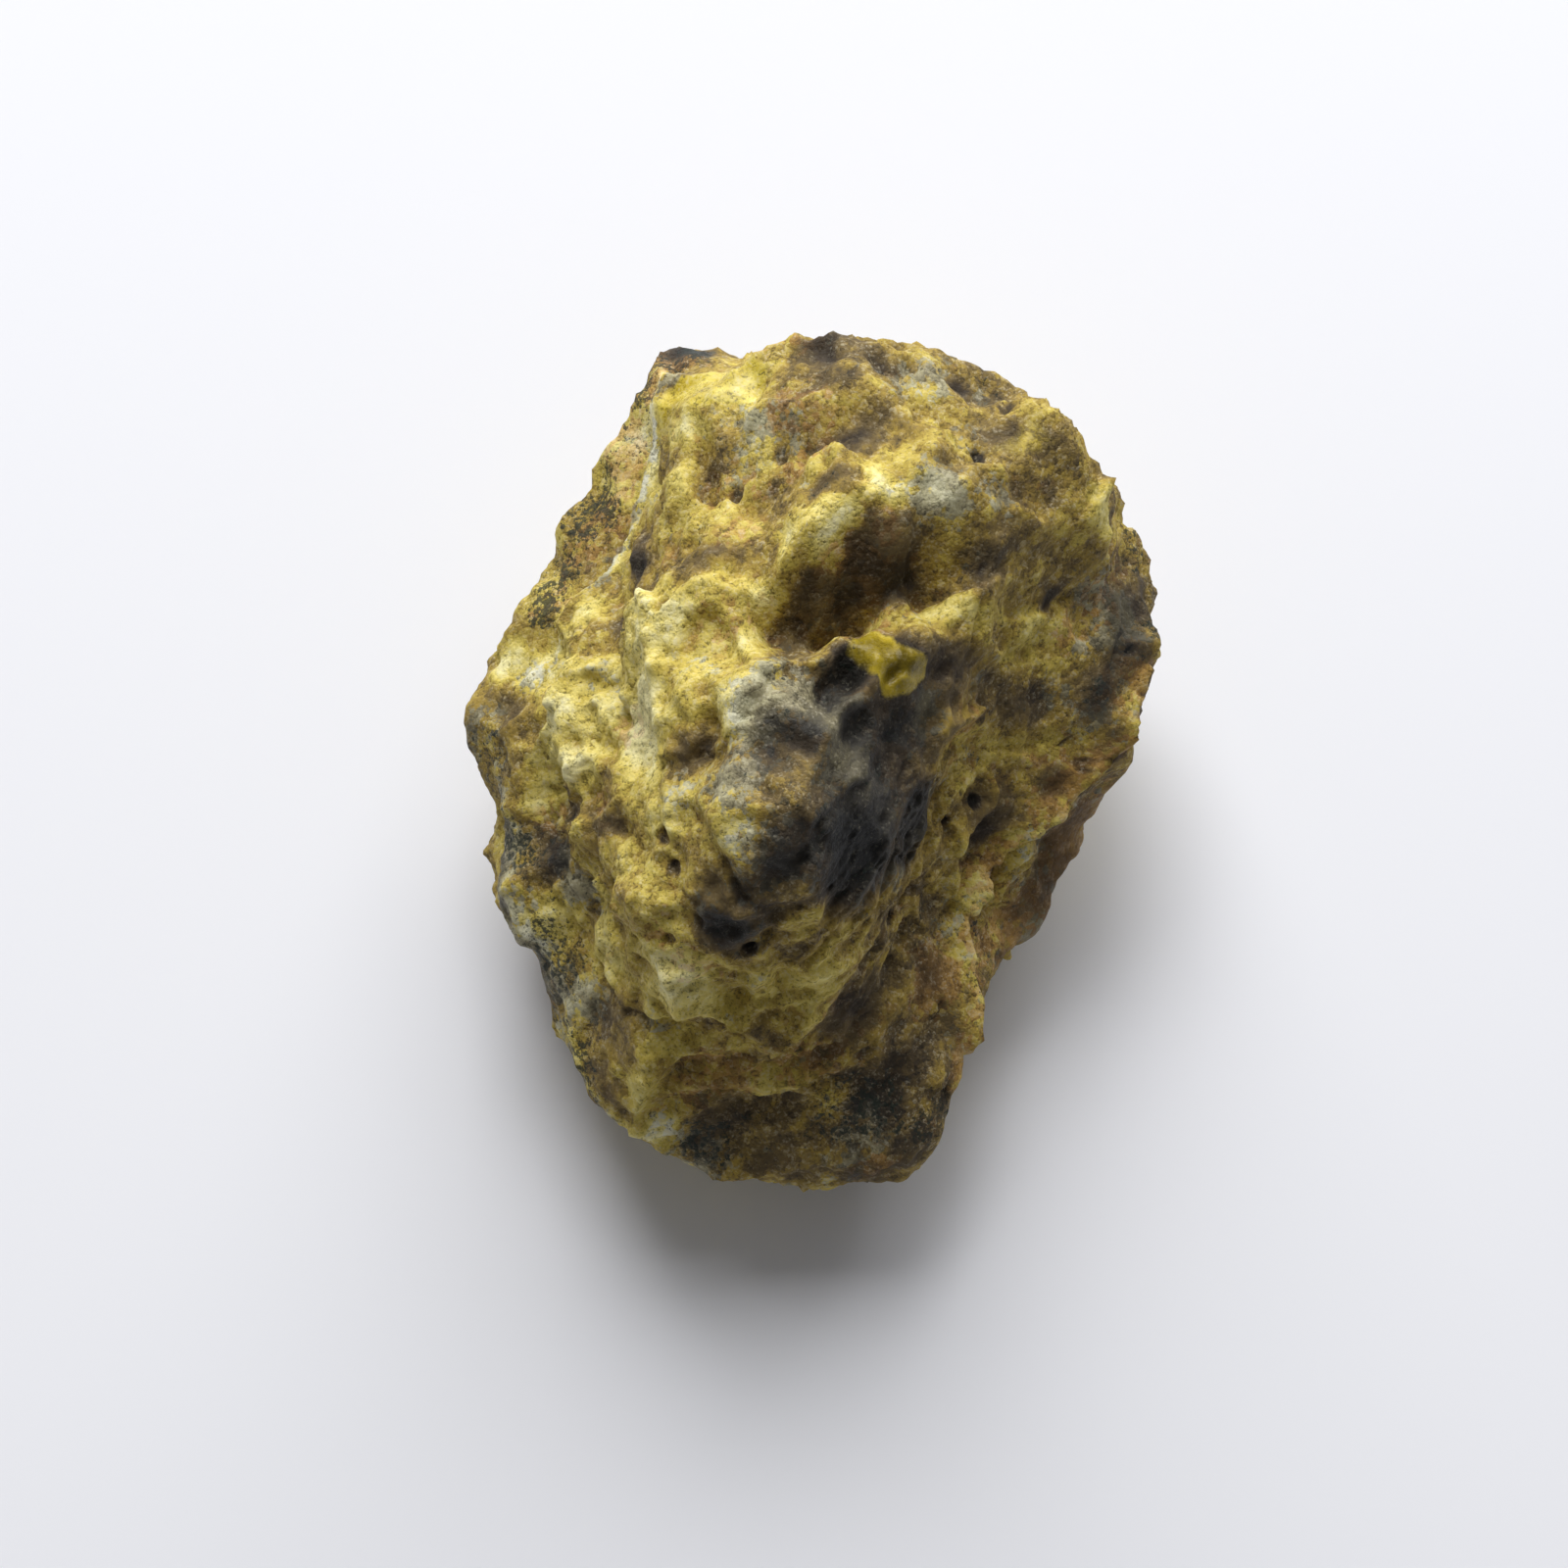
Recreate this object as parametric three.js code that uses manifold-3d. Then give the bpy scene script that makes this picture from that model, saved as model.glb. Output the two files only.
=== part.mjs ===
import * as THREE from 'three';
import { ConvexHull } from 'three/addons/math/ConvexHull.js';
import { mergeVertices } from 'three/addons/utils/BufferGeometryUtils.js';
import Module from 'manifold-3d';

// A rough tourmaline nugget still in its ochre matrix: one stone, about 41 x 48 x 34 mm.
// Millimetres, +Z up. The long side lies along Y, the pointed north tip is at +Y, and the stone
// rests on a flat facet at z = 0. The whole surface is one radius for each direction out of
// the centre: flat facets between the landmarks, then chipped faces, edges and cavities, ledges and lumps.
const centre = new THREE.Vector3(0, -0.5, 13);
const ballDetail = 20;
const edgeSharpness = 55;
const groundSnap = 0.15;

// The direction wanders by this much over this length, so that no edge is straight.
const wanderAmount = 0.035;
const wanderLength = 0.35;

// Chipped faces: flat cuts spread evenly over the stone, each tilted and sunk a little.
const chipCount = 160;
const chipTilt = 0.5;
const leastChipDepth = 0.05;
const chipDepth = 1.15;
const chipReach = 5;
const chipSharpness = 6;
const deepestChip = 1.8;
const deepestSharpness = 2.5;

// Blocks and smaller lumps are packed side by side like crystals, one in each unit cell. Each has one flat
// face with its own tilt and level. Some regions of the stone, lively ones, have higher ones than others.
const blocks = { size: 5.6, tilt: 0.15, sharpness: 26, seed: 21 };
const lumps = { size: 2.7, tilt: 0.12, sharpness: 20, seed: 31 };
const lively = { size: 9, least: 0.8, extra: 0.5, seed: 61 };

// Ledges are steps across the stone's layers, strongest on its south and south-east sides.
const layerDirection = new THREE.Vector3(-0.35, 0.25, 0.9);
const ledge = { step: 2.3, height: 0.75, size: 5, bend: 0.8, seed: 71, elsewhere: 0.35 };

// Broad swells, and creases finer than the lumps.
const swells = { size: 6, height: 0.55, seed: 41 };
const creases = { size: 2.2, height: 0.4, seed: 51 };
const evenness = 0.1;

// Landmarks of the surface, by place.
const widestLine = [
  [-7.5, 23.8, 20], [-10.2, 20.8, 19.2], [-13, 16.9, 18.3], [-15.8, 11.6, 17], [-19.1, 6.7, 15.2], [-20, 2.4, 14.5],
  [-19.7, -1.5, 13], [-20.4, -4.5, 11.5], [-19.1, -8.7, 10.5], [-16, -13.5, 9.5], [-12.8, -18.1, 9.5],
  [-7.3, -23.1, 9], [-1.8, -22.8, 8.5], [4.3, -22.7, 8.5], [7.6, -20.6, 8.5], [8.6, -16.4, 8],
  [11.4, -12, 7.5], [16.1, -6.4, 8], [17.8, -0.8, 10], [20, 4.4, 14], [20, 10.1, 16.5],
  [17.3, 13.9, 20], [15.1, 15.9, 26], [11.4, 17.8, 27], [5.8, 19.1, 27], [0.3, 21.9, 27.5],
  [-3.6, 20.9, 25],
];
const westRidge = [
  [-7.9, 21.6, 21], [-10.3, 15.8, 20], [-12.8, 10.4, 19], [-15, 6.8, 17.8],
  [-18.2, 4.4, 16.5], [-18.2, -3.3, 15], [-16.4, -9.4, 13.5], [-13.4, -17, 11],
];
const southEastRidge = [
  [19, 4.6, 16.5], [16, -1, 15.5], [13.1, -4.4, 14.5], [10.4, -8.2, 13.5],
  [9.1, -11.8, 12.5], [9.3, -15, 11], [8.2, -18, 10.5], [6.8, -21, 10.5],
];
const crown = [
  [-4.5, 17, 26.5], [-1.5, 17.5, 28.5], [3, 17, 29.5], [8, 16, 29], [13, 14.4, 27.6], [-6, 11, 27],
  [-1, 12, 30.5], [5, 11, 31], [10.5, 11, 28.5], [-6.5, 4.5, 29.5], [-1, 6, 33], [5, 5, 31.5],
  [-6.5, -3, 31.5], [-1.5, -3, 33.4], [4, -2, 30.5], [-6.5, -9.5, 31.2], [0, -9, 32], [4, -8, 28.5],
  [-7, -14.5, 27], [-2, -14, 28.5], [3, -13, 24],
];
const flanks = [
  [-11.8, 6, 23.5], [-10.8, 9.8, 24], [-8.6, 13.2, 25], [-7, 16.2, 25.4],
  [-12.3, -1, 24.5], [-12.3, -8.5, 22.5], [-11.5, -14, 18.5],
  [-8, -18, 19], [-2.5, -17.5, 19], [3.5, -16.5, 15.5], [-8, -20.6, 13], [-1.5, -21.2, 12.8],
  [4.5, -20.5, 12], [5.5, -12, 17], [7, -7, 20.5], [7.5, -2, 26], [9, 3, 27], [12, 7, 25.5],
  [11, 0, 21.5], [15, 3, 20], [16, 8.5, 21.5], [10, -4.5, 17.5], [14, 10, 26],
];
const undercut = [
  [-10, 20, 9], [-15.5, 11, 6.5], [-18, 3.5, 7], [-17.3, -6, 5.5], [-13.5, -14.5, 4.5], [-6.5, -19.5, 4],
  [1.5, -20, 4], [6, -17.8, 3.5], [8, -13, 3.5], [11.5, -7, 3.2], [15.5, -1, 4.5], [18, 5, 7.5],
  [18, 12, 10], [14.5, 16.5, 14], [8, 20.5, 14], [0, 22, 13.5], [-6, 22.3, 12], [-7, 17.5, 3],
  [0, 19, 4.5], [8, 17, 5], [14, 11, 5],
];
const restingEdge = [
  [0, -0.5, -2.8], [9.8, 3, -2.8], [8, 8.5, -2.8], [2, 11, -2.8], [-5.5, 10.5, -2.8], [-10, 5, -2.8],
  [-10.2, -3, -2.8], [-8, -9.5, -2.8], [-3, -13.5, -2.8], [3, -11, -2.8], [7, -4, -2.8],
];

// Single marks along a line from one point to another: half width, height (a hollow is negative) and
// how steep the sides are.
const singleMarks = [
  { name: 'brown cavity', from: [-1.2, 3.6, 31.5], to: [5.6, 6, 30.5], width: 2.8, height: -4.4, steep: 2.4 },
  { name: 'cavity floor', from: [0.4, 4.4, 32.8], to: [2.8, 5.2, 32.2], width: 1.8, height: -3, steep: 2 },
  { name: 'cavity lip', from: [-2.6, 6.6, 32], to: [1.8, 9.4, 31], width: 1.3, height: 1.5, steep: 1.6 },
  { name: 'crest', from: [-1.2, 0.4, 33], to: [12, 7.2, 25.5], width: 0.9, height: 1, steep: 1.4 },
  { name: 'yellow crystal', from: [3, 1.2, 30.5], to: [5.4, 2, 29], width: 1.4, height: 0.5, steep: 3 },
  { name: 'small hole', from: [0.6, -1, 32.5], to: [1.6, -0.2, 32], width: 1, height: -2, steep: 2 },
  { name: 'east crack', from: [11.6, 5.4, 25], to: [15, 8, 22], width: 0.9, height: -1.4, steep: 2 },
  { name: 'west pit', from: [-7, -4.8, 30.5], to: [-6, -2.6, 31], width: 1.1, height: -1.5, steep: 2 },
  { name: 'tip knob', from: [-7.4, 23.4, 19.5], to: [-7.2, 22.8, 19.8], width: 1.3, height: 1.1, steep: 2 },
  { name: 'tip notch', from: [-5.4, 22.4, 21.5], to: [-5, 21.2, 23], width: 0.9, height: -1, steep: 2 },
  { name: 'grey crystal', from: [6, 11.6, 30.5], to: [8.6, 9, 30], width: 1.5, height: 0.9, steep: 2 },
  { name: 'crown crystal', from: [-3.4, -1, 33], to: [-0.4, -3, 33], width: 1.8, height: 0.7, steep: 2 },
  { name: 'west notch', from: [-19.2, -2.6, 13], to: [-18, -4.4, 11], width: 0.9, height: -1.3, steep: 2 },
  { name: 'peak', from: [-1, -9, 32], to: [3, -7, 30], width: 2.4, height: 0.8, steep: 2 },
];

// Bumps and dents along the widest line: x, y, z, radius and height.
const rimMarks = [
  [-20.2, 6, 13.5, 1.6, -1.2], [-20.3, 2, 14, 1.6, 0.4], [-18, -9.7, 12, 1.4, -0.5],
  [-16.5, -11.8, 11, 1.8, 1.1], [-15, -16, 7.5, 1.8, -0.8], [-12.5, -18.8, 10, 1.5, 0.6],
  [-10.8, -21.5, 8.5, 1.6, -0.8], [-6, -23.5, 8.5, 1.4, 0.5], [9.2, -17, 11, 1.8, -1.2],
  [12.6, -10.4, 6, 1, -0.7], [13.2, -7.5, 8.3, 2, 1.1], [16.5, -3.4, 9, 2, -1.1],
  [18, 0.2, 12, 1.8, 1.1], [20.5, 8.5, 15.5, 1.6, -0.9], [18.6, 12.4, 16, 1.9, 1.3],
  [17.3, 15.7, 21, 1.5, -1.2], [9.3, 20, 24.8, 2, 1], [4.8, 21.4, 26.5, 1.5, -0.9],
  [-7.3, 24.3, 18.5, 1.3, 0.9], [-5.2, 24, 19, 1, -0.7], [-11.3, 18.8, 18.2, 1.8, 0.6],
  [-16.8, 9.5, 16.3, 1.8, 0.5],
];

// Long marks along several points: half width and height (a hollow is negative).
const longMarks = [
  {
    name: 'west edge',
    width: 0.5,
    height: 0.5,
    line: [
      [-7.9, 21.6, 21], [-10.3, 15.8, 20], [-12.8, 10.4, 19],
      [-15, 6.8, 17.8], [-18.2, 4.4, 16.5],
    ],
  },
  {
    name: 'foot of the west wall',
    width: 0.7,
    height: -0.7,
    line: [
      [-8.4, 21.9, 20.7], [-10.9, 16.2, 19.7], [-13.4, 10.7, 18.7],
      [-15.6, 7.1, 17.5], [-18.5, 4.8, 16.2],
    ],
  },
  {
    name: 'south-west edge',
    width: 0.9,
    height: 0.9,
    line: [[-18.2, -3.3, 15], [-16.4, -9.4, 13.5], [-13.4, -17, 11], [-8, -21, 11]],
  },
  {
    name: 'south-west hollow',
    width: 1.6,
    height: -0.8,
    line: [[-16, -2, 18.5], [-14.4, -8.6, 16.5], [-12.2, -15, 14.5]],
  },
  {
    name: 'south-east edge',
    width: 0.9,
    height: 1.8,
    line: [
      [19, 4.6, 16.5], [16, -1, 15.5], [13.1, -4.4, 14.5],
      [10.4, -8.2, 13.5], [9.1, -11.8, 12.5], [8.2, -18, 10.5],
    ],
  },
  {
    name: 'south-east hollow',
    width: 2,
    height: -1.2,
    line: [[18, -2, 12], [13.5, -6.5, 9.5], [10.5, -12, 7.5], [9, -17, 7.5]],
  },
  {
    name: 'front ledge',
    width: 0.8,
    height: 0.8,
    line: [[-6, -18.5, 14.5], [0, -18.5, 14.5], [6, -15.5, 15.5]],
  },
  {
    name: 'front hollow',
    width: 1.6,
    height: -0.7,
    line: [[-5, -20.5, 12], [1, -20.5, 12.5], [6, -19, 12]],
  },
  {
    name: 'crown edge',
    width: 0.8,
    height: 0.7,
    line: [[6.5, -9, 22], [7, -4, 25], [7.5, 0, 27.5], [9, 4, 27.5], [11, 8, 27]],
  },
];

// The smooth south-east flank and the western rim: half width, and share of the relief that they lack.
const calmFlanks = [
  {
    name: 'south-east flank',
    width: 2.6,
    share: 0.8,
    line: [[18.5, -0.5, 10.5], [15, -5, 9], [12, -9.5, 8], [9.8, -15, 8.5]],
  },
  {
    name: 'western rim',
    width: 3,
    share: 0.5,
    line: [
      [-8, 23.5, 19], [-14.5, 13, 18], [-19, 5.5, 15],
      [-20, -4, 12], [-18, -11, 10], [-11, -20, 9],
    ],
  },
];

function fraction(value) {
  return value - Math.floor(value);
}

// An even scatter from 0 to 1 for a place on a whole-number grid.
function scatter(i, j, k, seed) {
  return fraction(Math.sin(i * 127.1 + j * 311.7 + k * 74.7 + seed * 53.3) * 43758.5453);
}

function ramp(value, low, high) {
  return THREE.MathUtils.smoothstep(value, low, high);
}

// The smaller of two values, rounded where they meet.
function softLess(a, b, sharpness) {
  const least = Math.min(a, b);
  const share = (value) => Math.exp(-sharpness * (value - least));
  return least - Math.log(share(a) + share(b)) / sharpness;
}

// Smooth random swell from -1 to 1, from the scatter at the eight corners round a point.
function swell(point, seed) {
  const cell = point.clone().floor();
  const [fx, fy, fz] = point.clone().sub(cell).toArray();
  const [wx, wy, wz] = [fx, fy, fz].map((t) => t * t * t * (t * (t * 6 - 15) + 10));
  let total = 0;
  for (const a of [0, 1]) {
    for (const b of [0, 1]) {
      for (const c of [0, 1]) {
        const weight = (a ? wx : 1 - wx) * (b ? wy : 1 - wy) * (c ? wz : 1 - wz);
        total += weight * scatter(cell.x + a, cell.y + b, cell.z + c, seed);
      }
    }
  }
  return total * 2 - 1;
}

const turn = new THREE.Matrix3(0.36, 0.48, -0.8, -0.8, 0.6, 0, 0.48, 0.64, 0.6);

// Swells of halving size and height added up; creased ones are folded at zero.
function roughness(point, seed, octaves, creased = false) {
  const place = point.clone();
  let total = 0;
  let height = 1;
  let heights = 0;
  for (let octave = 0; octave < octaves; octave += 1) {
    const value = swell(place, seed + octave);
    total += height * (creased ? 1 - 2 * Math.abs(value) : value);
    heights += height;
    height /= 2;
    place.applyMatrix3(turn).multiplyScalar(2.03).addScalar(17.1);
  }
  return total / heights;
}

// Crystals with flat faces: each unit cell has one, with its own tilt and level, and they blend narrowly.
function crystalHeight({ size, tilt, sharpness, seed }, point) {
  const place = point.clone().divideScalar(size);
  const cell = place.clone().floor();
  let total = 0;
  let weights = 0;
  for (const a of [-1, 0, 1]) {
    for (const b of [-1, 0, 1]) {
      for (const c of [-1, 0, 1]) {
        const number = [cell.x + a, cell.y + b, cell.z + c];
        const chance = [0, 1, 2, 3, 4, 5, 6].map((n) => scatter(...number, seed + n));
        const offset = [place.x, place.y, place.z].map((value, axis) => value - number[axis] - chance[axis]);
        const slope = offset.reduce((sum, value, axis) => sum + value * (2 * chance[axis + 3] - 1), 0);
        const weight = Math.exp(-sharpness * offset.reduce((sum, value) => sum + value * value, 0));
        total += weight * (slope + 0.5 * chance[6] - 0.25);
        weights += weight;
      }
    }
  }
  return (size * tilt * total) / weights;
}

// The facets: the landmarks' directions, pulled onto a ball, are joined by their convex hull, and each
// triangle of the hull stands for the flat facet through the same three landmarks.
const landmarkOf = new Map();
const allLandmarks = [
  ...widestLine, ...westRidge, ...southEastRidge, ...crown, ...flanks, ...undercut, ...restingEdge,
];
for (const [x, y, z] of allLandmarks) {
  const offset = new THREE.Vector3(x, y, z).sub(centre);
  landmarkOf.set(offset.clone().normalize(), offset);
}
const facets = new ConvexHull().setFromPoints([...landmarkOf.keys()]).faces.map((face) => {
  const corners = [0, 1, 2].map((i) => landmarkOf.get(face.getEdge(i).head().point));
  const plane = new THREE.Plane().setFromCoplanarPoints(...corners);
  return {
    onBall: face.normal.clone().divideScalar(face.constant),
    inStone: plane.normal.clone().divideScalar(-plane.constant),
  };
});

// Distance out to the facets. The facet that a direction meets counts fully, and its neighbours come in
// close to the shared edge, so the edges are a little rounded.
function facetRadius(direction) {
  const hits = facets.map((facet) => facet.onBall.dot(direction));
  const best = Math.max(...hits);
  let total = 0;
  let weights = 0;
  facets.forEach((facet, i) => {
    const weight = Math.exp(edgeSharpness * (hits[i] - best));
    if (weight > 1e-4) {
      total += weight / THREE.MathUtils.clamp(facet.inStone.dot(direction), 1 / 60, 1 / 3);
      weights += weight;
    }
  });
  return total / weights;
}

function facetNormal(direction) {
  const across = direction.clone().cross(new THREE.Vector3(0.31, 0.62, 0.72)).normalize();
  const along = direction.clone().cross(across);
  const beside = (axis, side) => {
    const near = direction.clone().addScaledVector(axis, side * 0.05).normalize();
    return near.clone().multiplyScalar(facetRadius(near));
  };
  const first = beside(across, 1).sub(beside(across, -1));
  const second = beside(along, 1).sub(beside(along, -1));
  const normal = first.cross(second).normalize();
  return normal.multiplyScalar(Math.sign(normal.dot(direction)));
}

// Chip centres lie on a spiral round the ball at the golden angle.
const chips = Array.from({ length: chipCount }, (_, i) => {
  const height = 1 - (2 * (i + 0.5)) / chipCount;
  const angle = (i + 0.5) * Math.PI * (1 + Math.sqrt(5));
  const waist = Math.sqrt(1 - height * height);
  const direction = new THREE.Vector3(waist * Math.cos(angle), waist * Math.sin(angle), height);
  const place = direction.clone().multiplyScalar(facetRadius(direction));
  const tilt = new THREE.Vector3(scatter(i, 1, 0, 5), scatter(i, 2, 0, 5), scatter(i, 3, 0, 5));
  tilt.multiplyScalar(2).subScalar(1);
  const normal = facetNormal(direction).addScaledVector(tilt, chipTilt).normalize();
  const depth = leastChipDepth + chipDepth * scatter(i, 4, 0, 5) ** 1.5;
  return { place, normal, offset: normal.dot(place) - depth };
});

function chippedRadius(direction) {
  const whole = facetRadius(direction);
  const place = direction.clone().multiplyScalar(whole);
  let radius = whole;
  for (const chip of chips) {
    const slope = chip.normal.dot(direction);
    const flat = slope > 0.15 ? chip.offset / slope : 200;
    const beyond = Math.max(place.distanceTo(chip.place) / chipReach - 0.8, 0);
    const cut = Math.min(flat + 2 * chipReach * beyond * beyond, whole + 8);
    radius = softLess(radius, cut, chipSharpness);
  }
  return -softLess(-radius, deepestChip - whole, deepestSharpness);
}

function singleMarkHeight(point) {
  let total = 0;
  const nearest = new THREE.Vector3();
  for (const mark of singleMarks) {
    const line = new THREE.Line3(new THREE.Vector3(...mark.from), new THREE.Vector3(...mark.to));
    line.closestPointToPoint(point, true, nearest);
    total += mark.height * Math.exp(-((point.distanceTo(nearest) / mark.width) ** mark.steep));
  }
  for (const [x, y, z, radius, height] of rimMarks) {
    total += height * Math.exp(-((point.distanceTo(nearest.set(x, y, z)) / radius) ** 2));
  }
  return total;
}

// A line's parts on a ball round the centre, and what turns a distance there into widths of the mark.
function onBall({ line, width }) {
  const offsets = line.map((corner) => new THREE.Vector3(...corner).sub(centre));
  const perWidth = offsets[0].length() / width;
  const corners = offsets.map((offset) => offset.clone().normalize());
  return { perWidth, parts: corners.slice(1).map((end, i) => new THREE.Line3(corners[i], end)) };
}

// Distance to a line in widths of its mark. It is measured across the ball, so that the line lies on the
// surface however deep it is cut there.
function gapToLine(direction, { perWidth, parts }) {
  const nearest = new THREE.Vector3();
  const gaps = parts.map((part) => direction.distanceTo(part.closestPointToPoint(direction, true, nearest)));
  return perWidth * Math.min(...gaps);
}

const longLines = longMarks.map(onBall);
const calmLines = calmFlanks.map(onBall);

// The sides of a long mark fall off evenly from a sharp crest.
function longMarkHeight(direction) {
  return longMarks.reduce(
    (total, { height }, i) => total + height * Math.exp(-gapToLine(direction, longLines[i])),
    0,
  );
}

function calmness(direction) {
  const parts = calmFlanks.map(({ share }, i) => share * Math.exp(-(gapToLine(direction, calmLines[i]) ** 2)));
  return Math.max(...parts);
}

function ledgeHeight(point, direction) {
  const bend = ledge.bend * roughness(point.clone().divideScalar(ledge.size), ledge.seed, 2);
  const layer = fraction(point.dot(layerDirection) / ledge.step + bend);
  const south = ramp(0.35 * direction.x - direction.y, 0.15, 0.75);
  return ledge.height * (ramp(layer, 0, 0.75) - layer) * (ledge.elsewhere + (1 - ledge.elsewhere) * south);
}

function surfacePoint(direction) {
  const place = direction.clone().divideScalar(wanderLength);
  const wander = new THREE.Vector3(roughness(place, 11, 3), roughness(place, 12, 3), roughness(place, 13, 3));
  const wandered = direction.clone().addScaledVector(wander, wanderAmount).normalize();
  const chipped = chippedRadius(wandered);
  const pointAt = (radius) => centre.clone().addScaledVector(direction, radius);
  const point = pointAt(chipped);
  const marked = chipped + singleMarkHeight(point) + longMarkHeight(direction);
  const scaled = (size) => point.clone().divideScalar(size);

  const region = ramp(roughness(scaled(lively.size), lively.seed, 2), -0.35, 0.35);
  const liveliness = lively.least + lively.extra * region;
  const packed = liveliness * (crystalHeight(blocks, point) + crystalHeight(lumps, point));
  const swell = swells.height * roughness(scaled(swells.size), swells.seed, 3);
  const crease = creases.height * roughness(scaled(creases.size), creases.seed, 2, true);
  const relief = packed + ledgeHeight(point, direction) + swell + crease;
  return pointAt(marked + relief * (1 - calmness(direction)) - evenness);
}

const wasm = await Module();
wasm.setup();

// Corners that lie together are shared, which leaves a closed surface.
function joined(geometry) {
  geometry.deleteAttribute('normal');
  geometry.deleteAttribute('uv');
  return mergeVertices(geometry, 1e-5);
}

function toSolid(geometry) {
  return new wasm.Manifold(new wasm.Mesh({
    numProp: 3,
    vertProperties: new Float32Array(geometry.attributes.position.array),
    triVerts: new Uint32Array(geometry.index.array),
  }));
}

function toGeometry(solid) {
  const mesh = solid.getMesh();
  const geometry = new THREE.BufferGeometry();
  geometry.setAttribute('position', new THREE.BufferAttribute(mesh.vertProperties, 3));
  geometry.setIndex(new THREE.BufferAttribute(mesh.triVerts, 1));
  geometry.computeVertexNormals();
  return geometry;
}

// A ball of small triangles, each corner moved out to the stone's surface. A corner close to the ground is
// put on it, so that the cut below leaves no splinters.
const whole = joined(new THREE.IcosahedronGeometry(1, ballDetail));
const corners = whole.attributes.position;
for (let i = 0; i < corners.count; i += 1) {
  const direction = new THREE.Vector3().fromBufferAttribute(corners, i).normalize();
  const corner = surfacePoint(direction);
  corners.setXYZ(i, corner.x, corner.y, Math.abs(corner.z) < groundSnap ? 0 : corner.z);
}

// Everything under z = 0 is cut away, which leaves the flat facet that the stone rests on.
const underground = joined(new THREE.BoxGeometry(80, 80, 20).translate(0, 0, -10));
const stoneSolid = toSolid(whole).subtract(toSolid(underground));

const stoneMaterial = new THREE.MeshStandardMaterial({ color: '#8a7b45', roughness: 0.8, metalness: 0 });
const stone = new THREE.Mesh(toGeometry(stoneSolid), stoneMaterial);
stone.name = 'rough_tourmaline';

// The origin is under the middle of the stone's box.
const middle = new THREE.Box3().setFromObject(stone).getCenter(new THREE.Vector3());
stone.position.set(-middle.x, -middle.y, 0);

const roughTourmaline = new THREE.Group();
roughTourmaline.add(stone);

export default roughTourmaline;
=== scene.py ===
import bmesh
import bpy
import numpy as np
from mathutils import Matrix, Vector


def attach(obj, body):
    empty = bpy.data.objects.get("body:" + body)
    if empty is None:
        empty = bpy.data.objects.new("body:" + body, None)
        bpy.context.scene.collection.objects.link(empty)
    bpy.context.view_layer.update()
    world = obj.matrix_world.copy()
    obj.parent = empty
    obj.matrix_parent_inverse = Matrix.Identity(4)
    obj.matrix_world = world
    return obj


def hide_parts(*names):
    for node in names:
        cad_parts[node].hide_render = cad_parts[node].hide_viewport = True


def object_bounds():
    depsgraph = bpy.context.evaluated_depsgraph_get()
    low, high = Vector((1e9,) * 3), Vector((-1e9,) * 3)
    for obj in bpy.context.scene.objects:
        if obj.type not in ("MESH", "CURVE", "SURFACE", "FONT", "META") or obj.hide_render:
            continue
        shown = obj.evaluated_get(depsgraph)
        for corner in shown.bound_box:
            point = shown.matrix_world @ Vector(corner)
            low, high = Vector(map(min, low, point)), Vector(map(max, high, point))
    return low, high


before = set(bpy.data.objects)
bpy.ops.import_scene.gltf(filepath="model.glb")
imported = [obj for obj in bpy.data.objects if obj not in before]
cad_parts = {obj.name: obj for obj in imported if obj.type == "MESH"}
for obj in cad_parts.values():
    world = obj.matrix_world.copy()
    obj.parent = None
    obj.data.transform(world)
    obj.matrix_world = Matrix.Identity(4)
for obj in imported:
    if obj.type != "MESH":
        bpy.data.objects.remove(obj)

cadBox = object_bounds()
millimetre = 0.001

# Chance that is the same on every run

sineWeights = (127.1, 311.7, 74.7, 53.3)  # of a place's three whole numbers and of the seed
sineLength = 43758.5453


# One even random number from 0 to 1 for a whole-number place: the tail digits of a long sine.
def scatter(i, j, k, seed):
    first, second, third, last = sineWeights
    value = np.sin(i * first + j * second + k * third + seed * last) * sineLength
    return value - np.floor(value)


# 0 up to low, 1 from high, and a smooth S between.
def ramp(value, low, high):
    t = np.clip((value - low) / (high - low), 0, 1)
    return t * t * (3 - 2 * t)


# The smaller of two values, rounded where they meet.
def softLess(a, b, sharpness):
    least = np.minimum(a, b)
    return least - np.log(np.exp(-sharpness * (a - least)) + np.exp(-sharpness * (b - least))) / sharpness


# Smooth random swell from -1 to 1: the scatter at the eight corners round a point, blended.
def swell(point, seed):
    cell = np.floor(point)
    t = point - cell
    blend = t * t * t * (t * (t * 6 - 15) + 10)
    total = 0
    for corner in np.ndindex(2, 2, 2):
        weight = np.prod(np.where(np.array(corner), blend, 1 - blend), axis=1)
        total = total + weight * scatter(*(cell + corner).T, seed)
    return total * 2 - 1


# Each octave's place is turned, made finer and moved, so that the octaves don't line up.
octaveTurn = np.array([[0.36, 0.48, -0.8], [-0.8, 0.6, 0.0], [0.48, 0.64, 0.6]])
octaveFiner = 2.03
octaveMove = 17.1


# Swells of about halving size and halving height added up; creased ones are folded at zero.
def roughness(point, seed, octaves, creased=False):
    total, height, heights = 0, 1, 0
    for octave in range(octaves):
        value = swell(point, seed + octave)
        total = total + height * (1 - 2 * np.abs(value) if creased else value)
        heights += height
        height /= 2
        point = point @ octaveTurn.T * octaveFiner + octaveMove
    return total / heights


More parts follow.
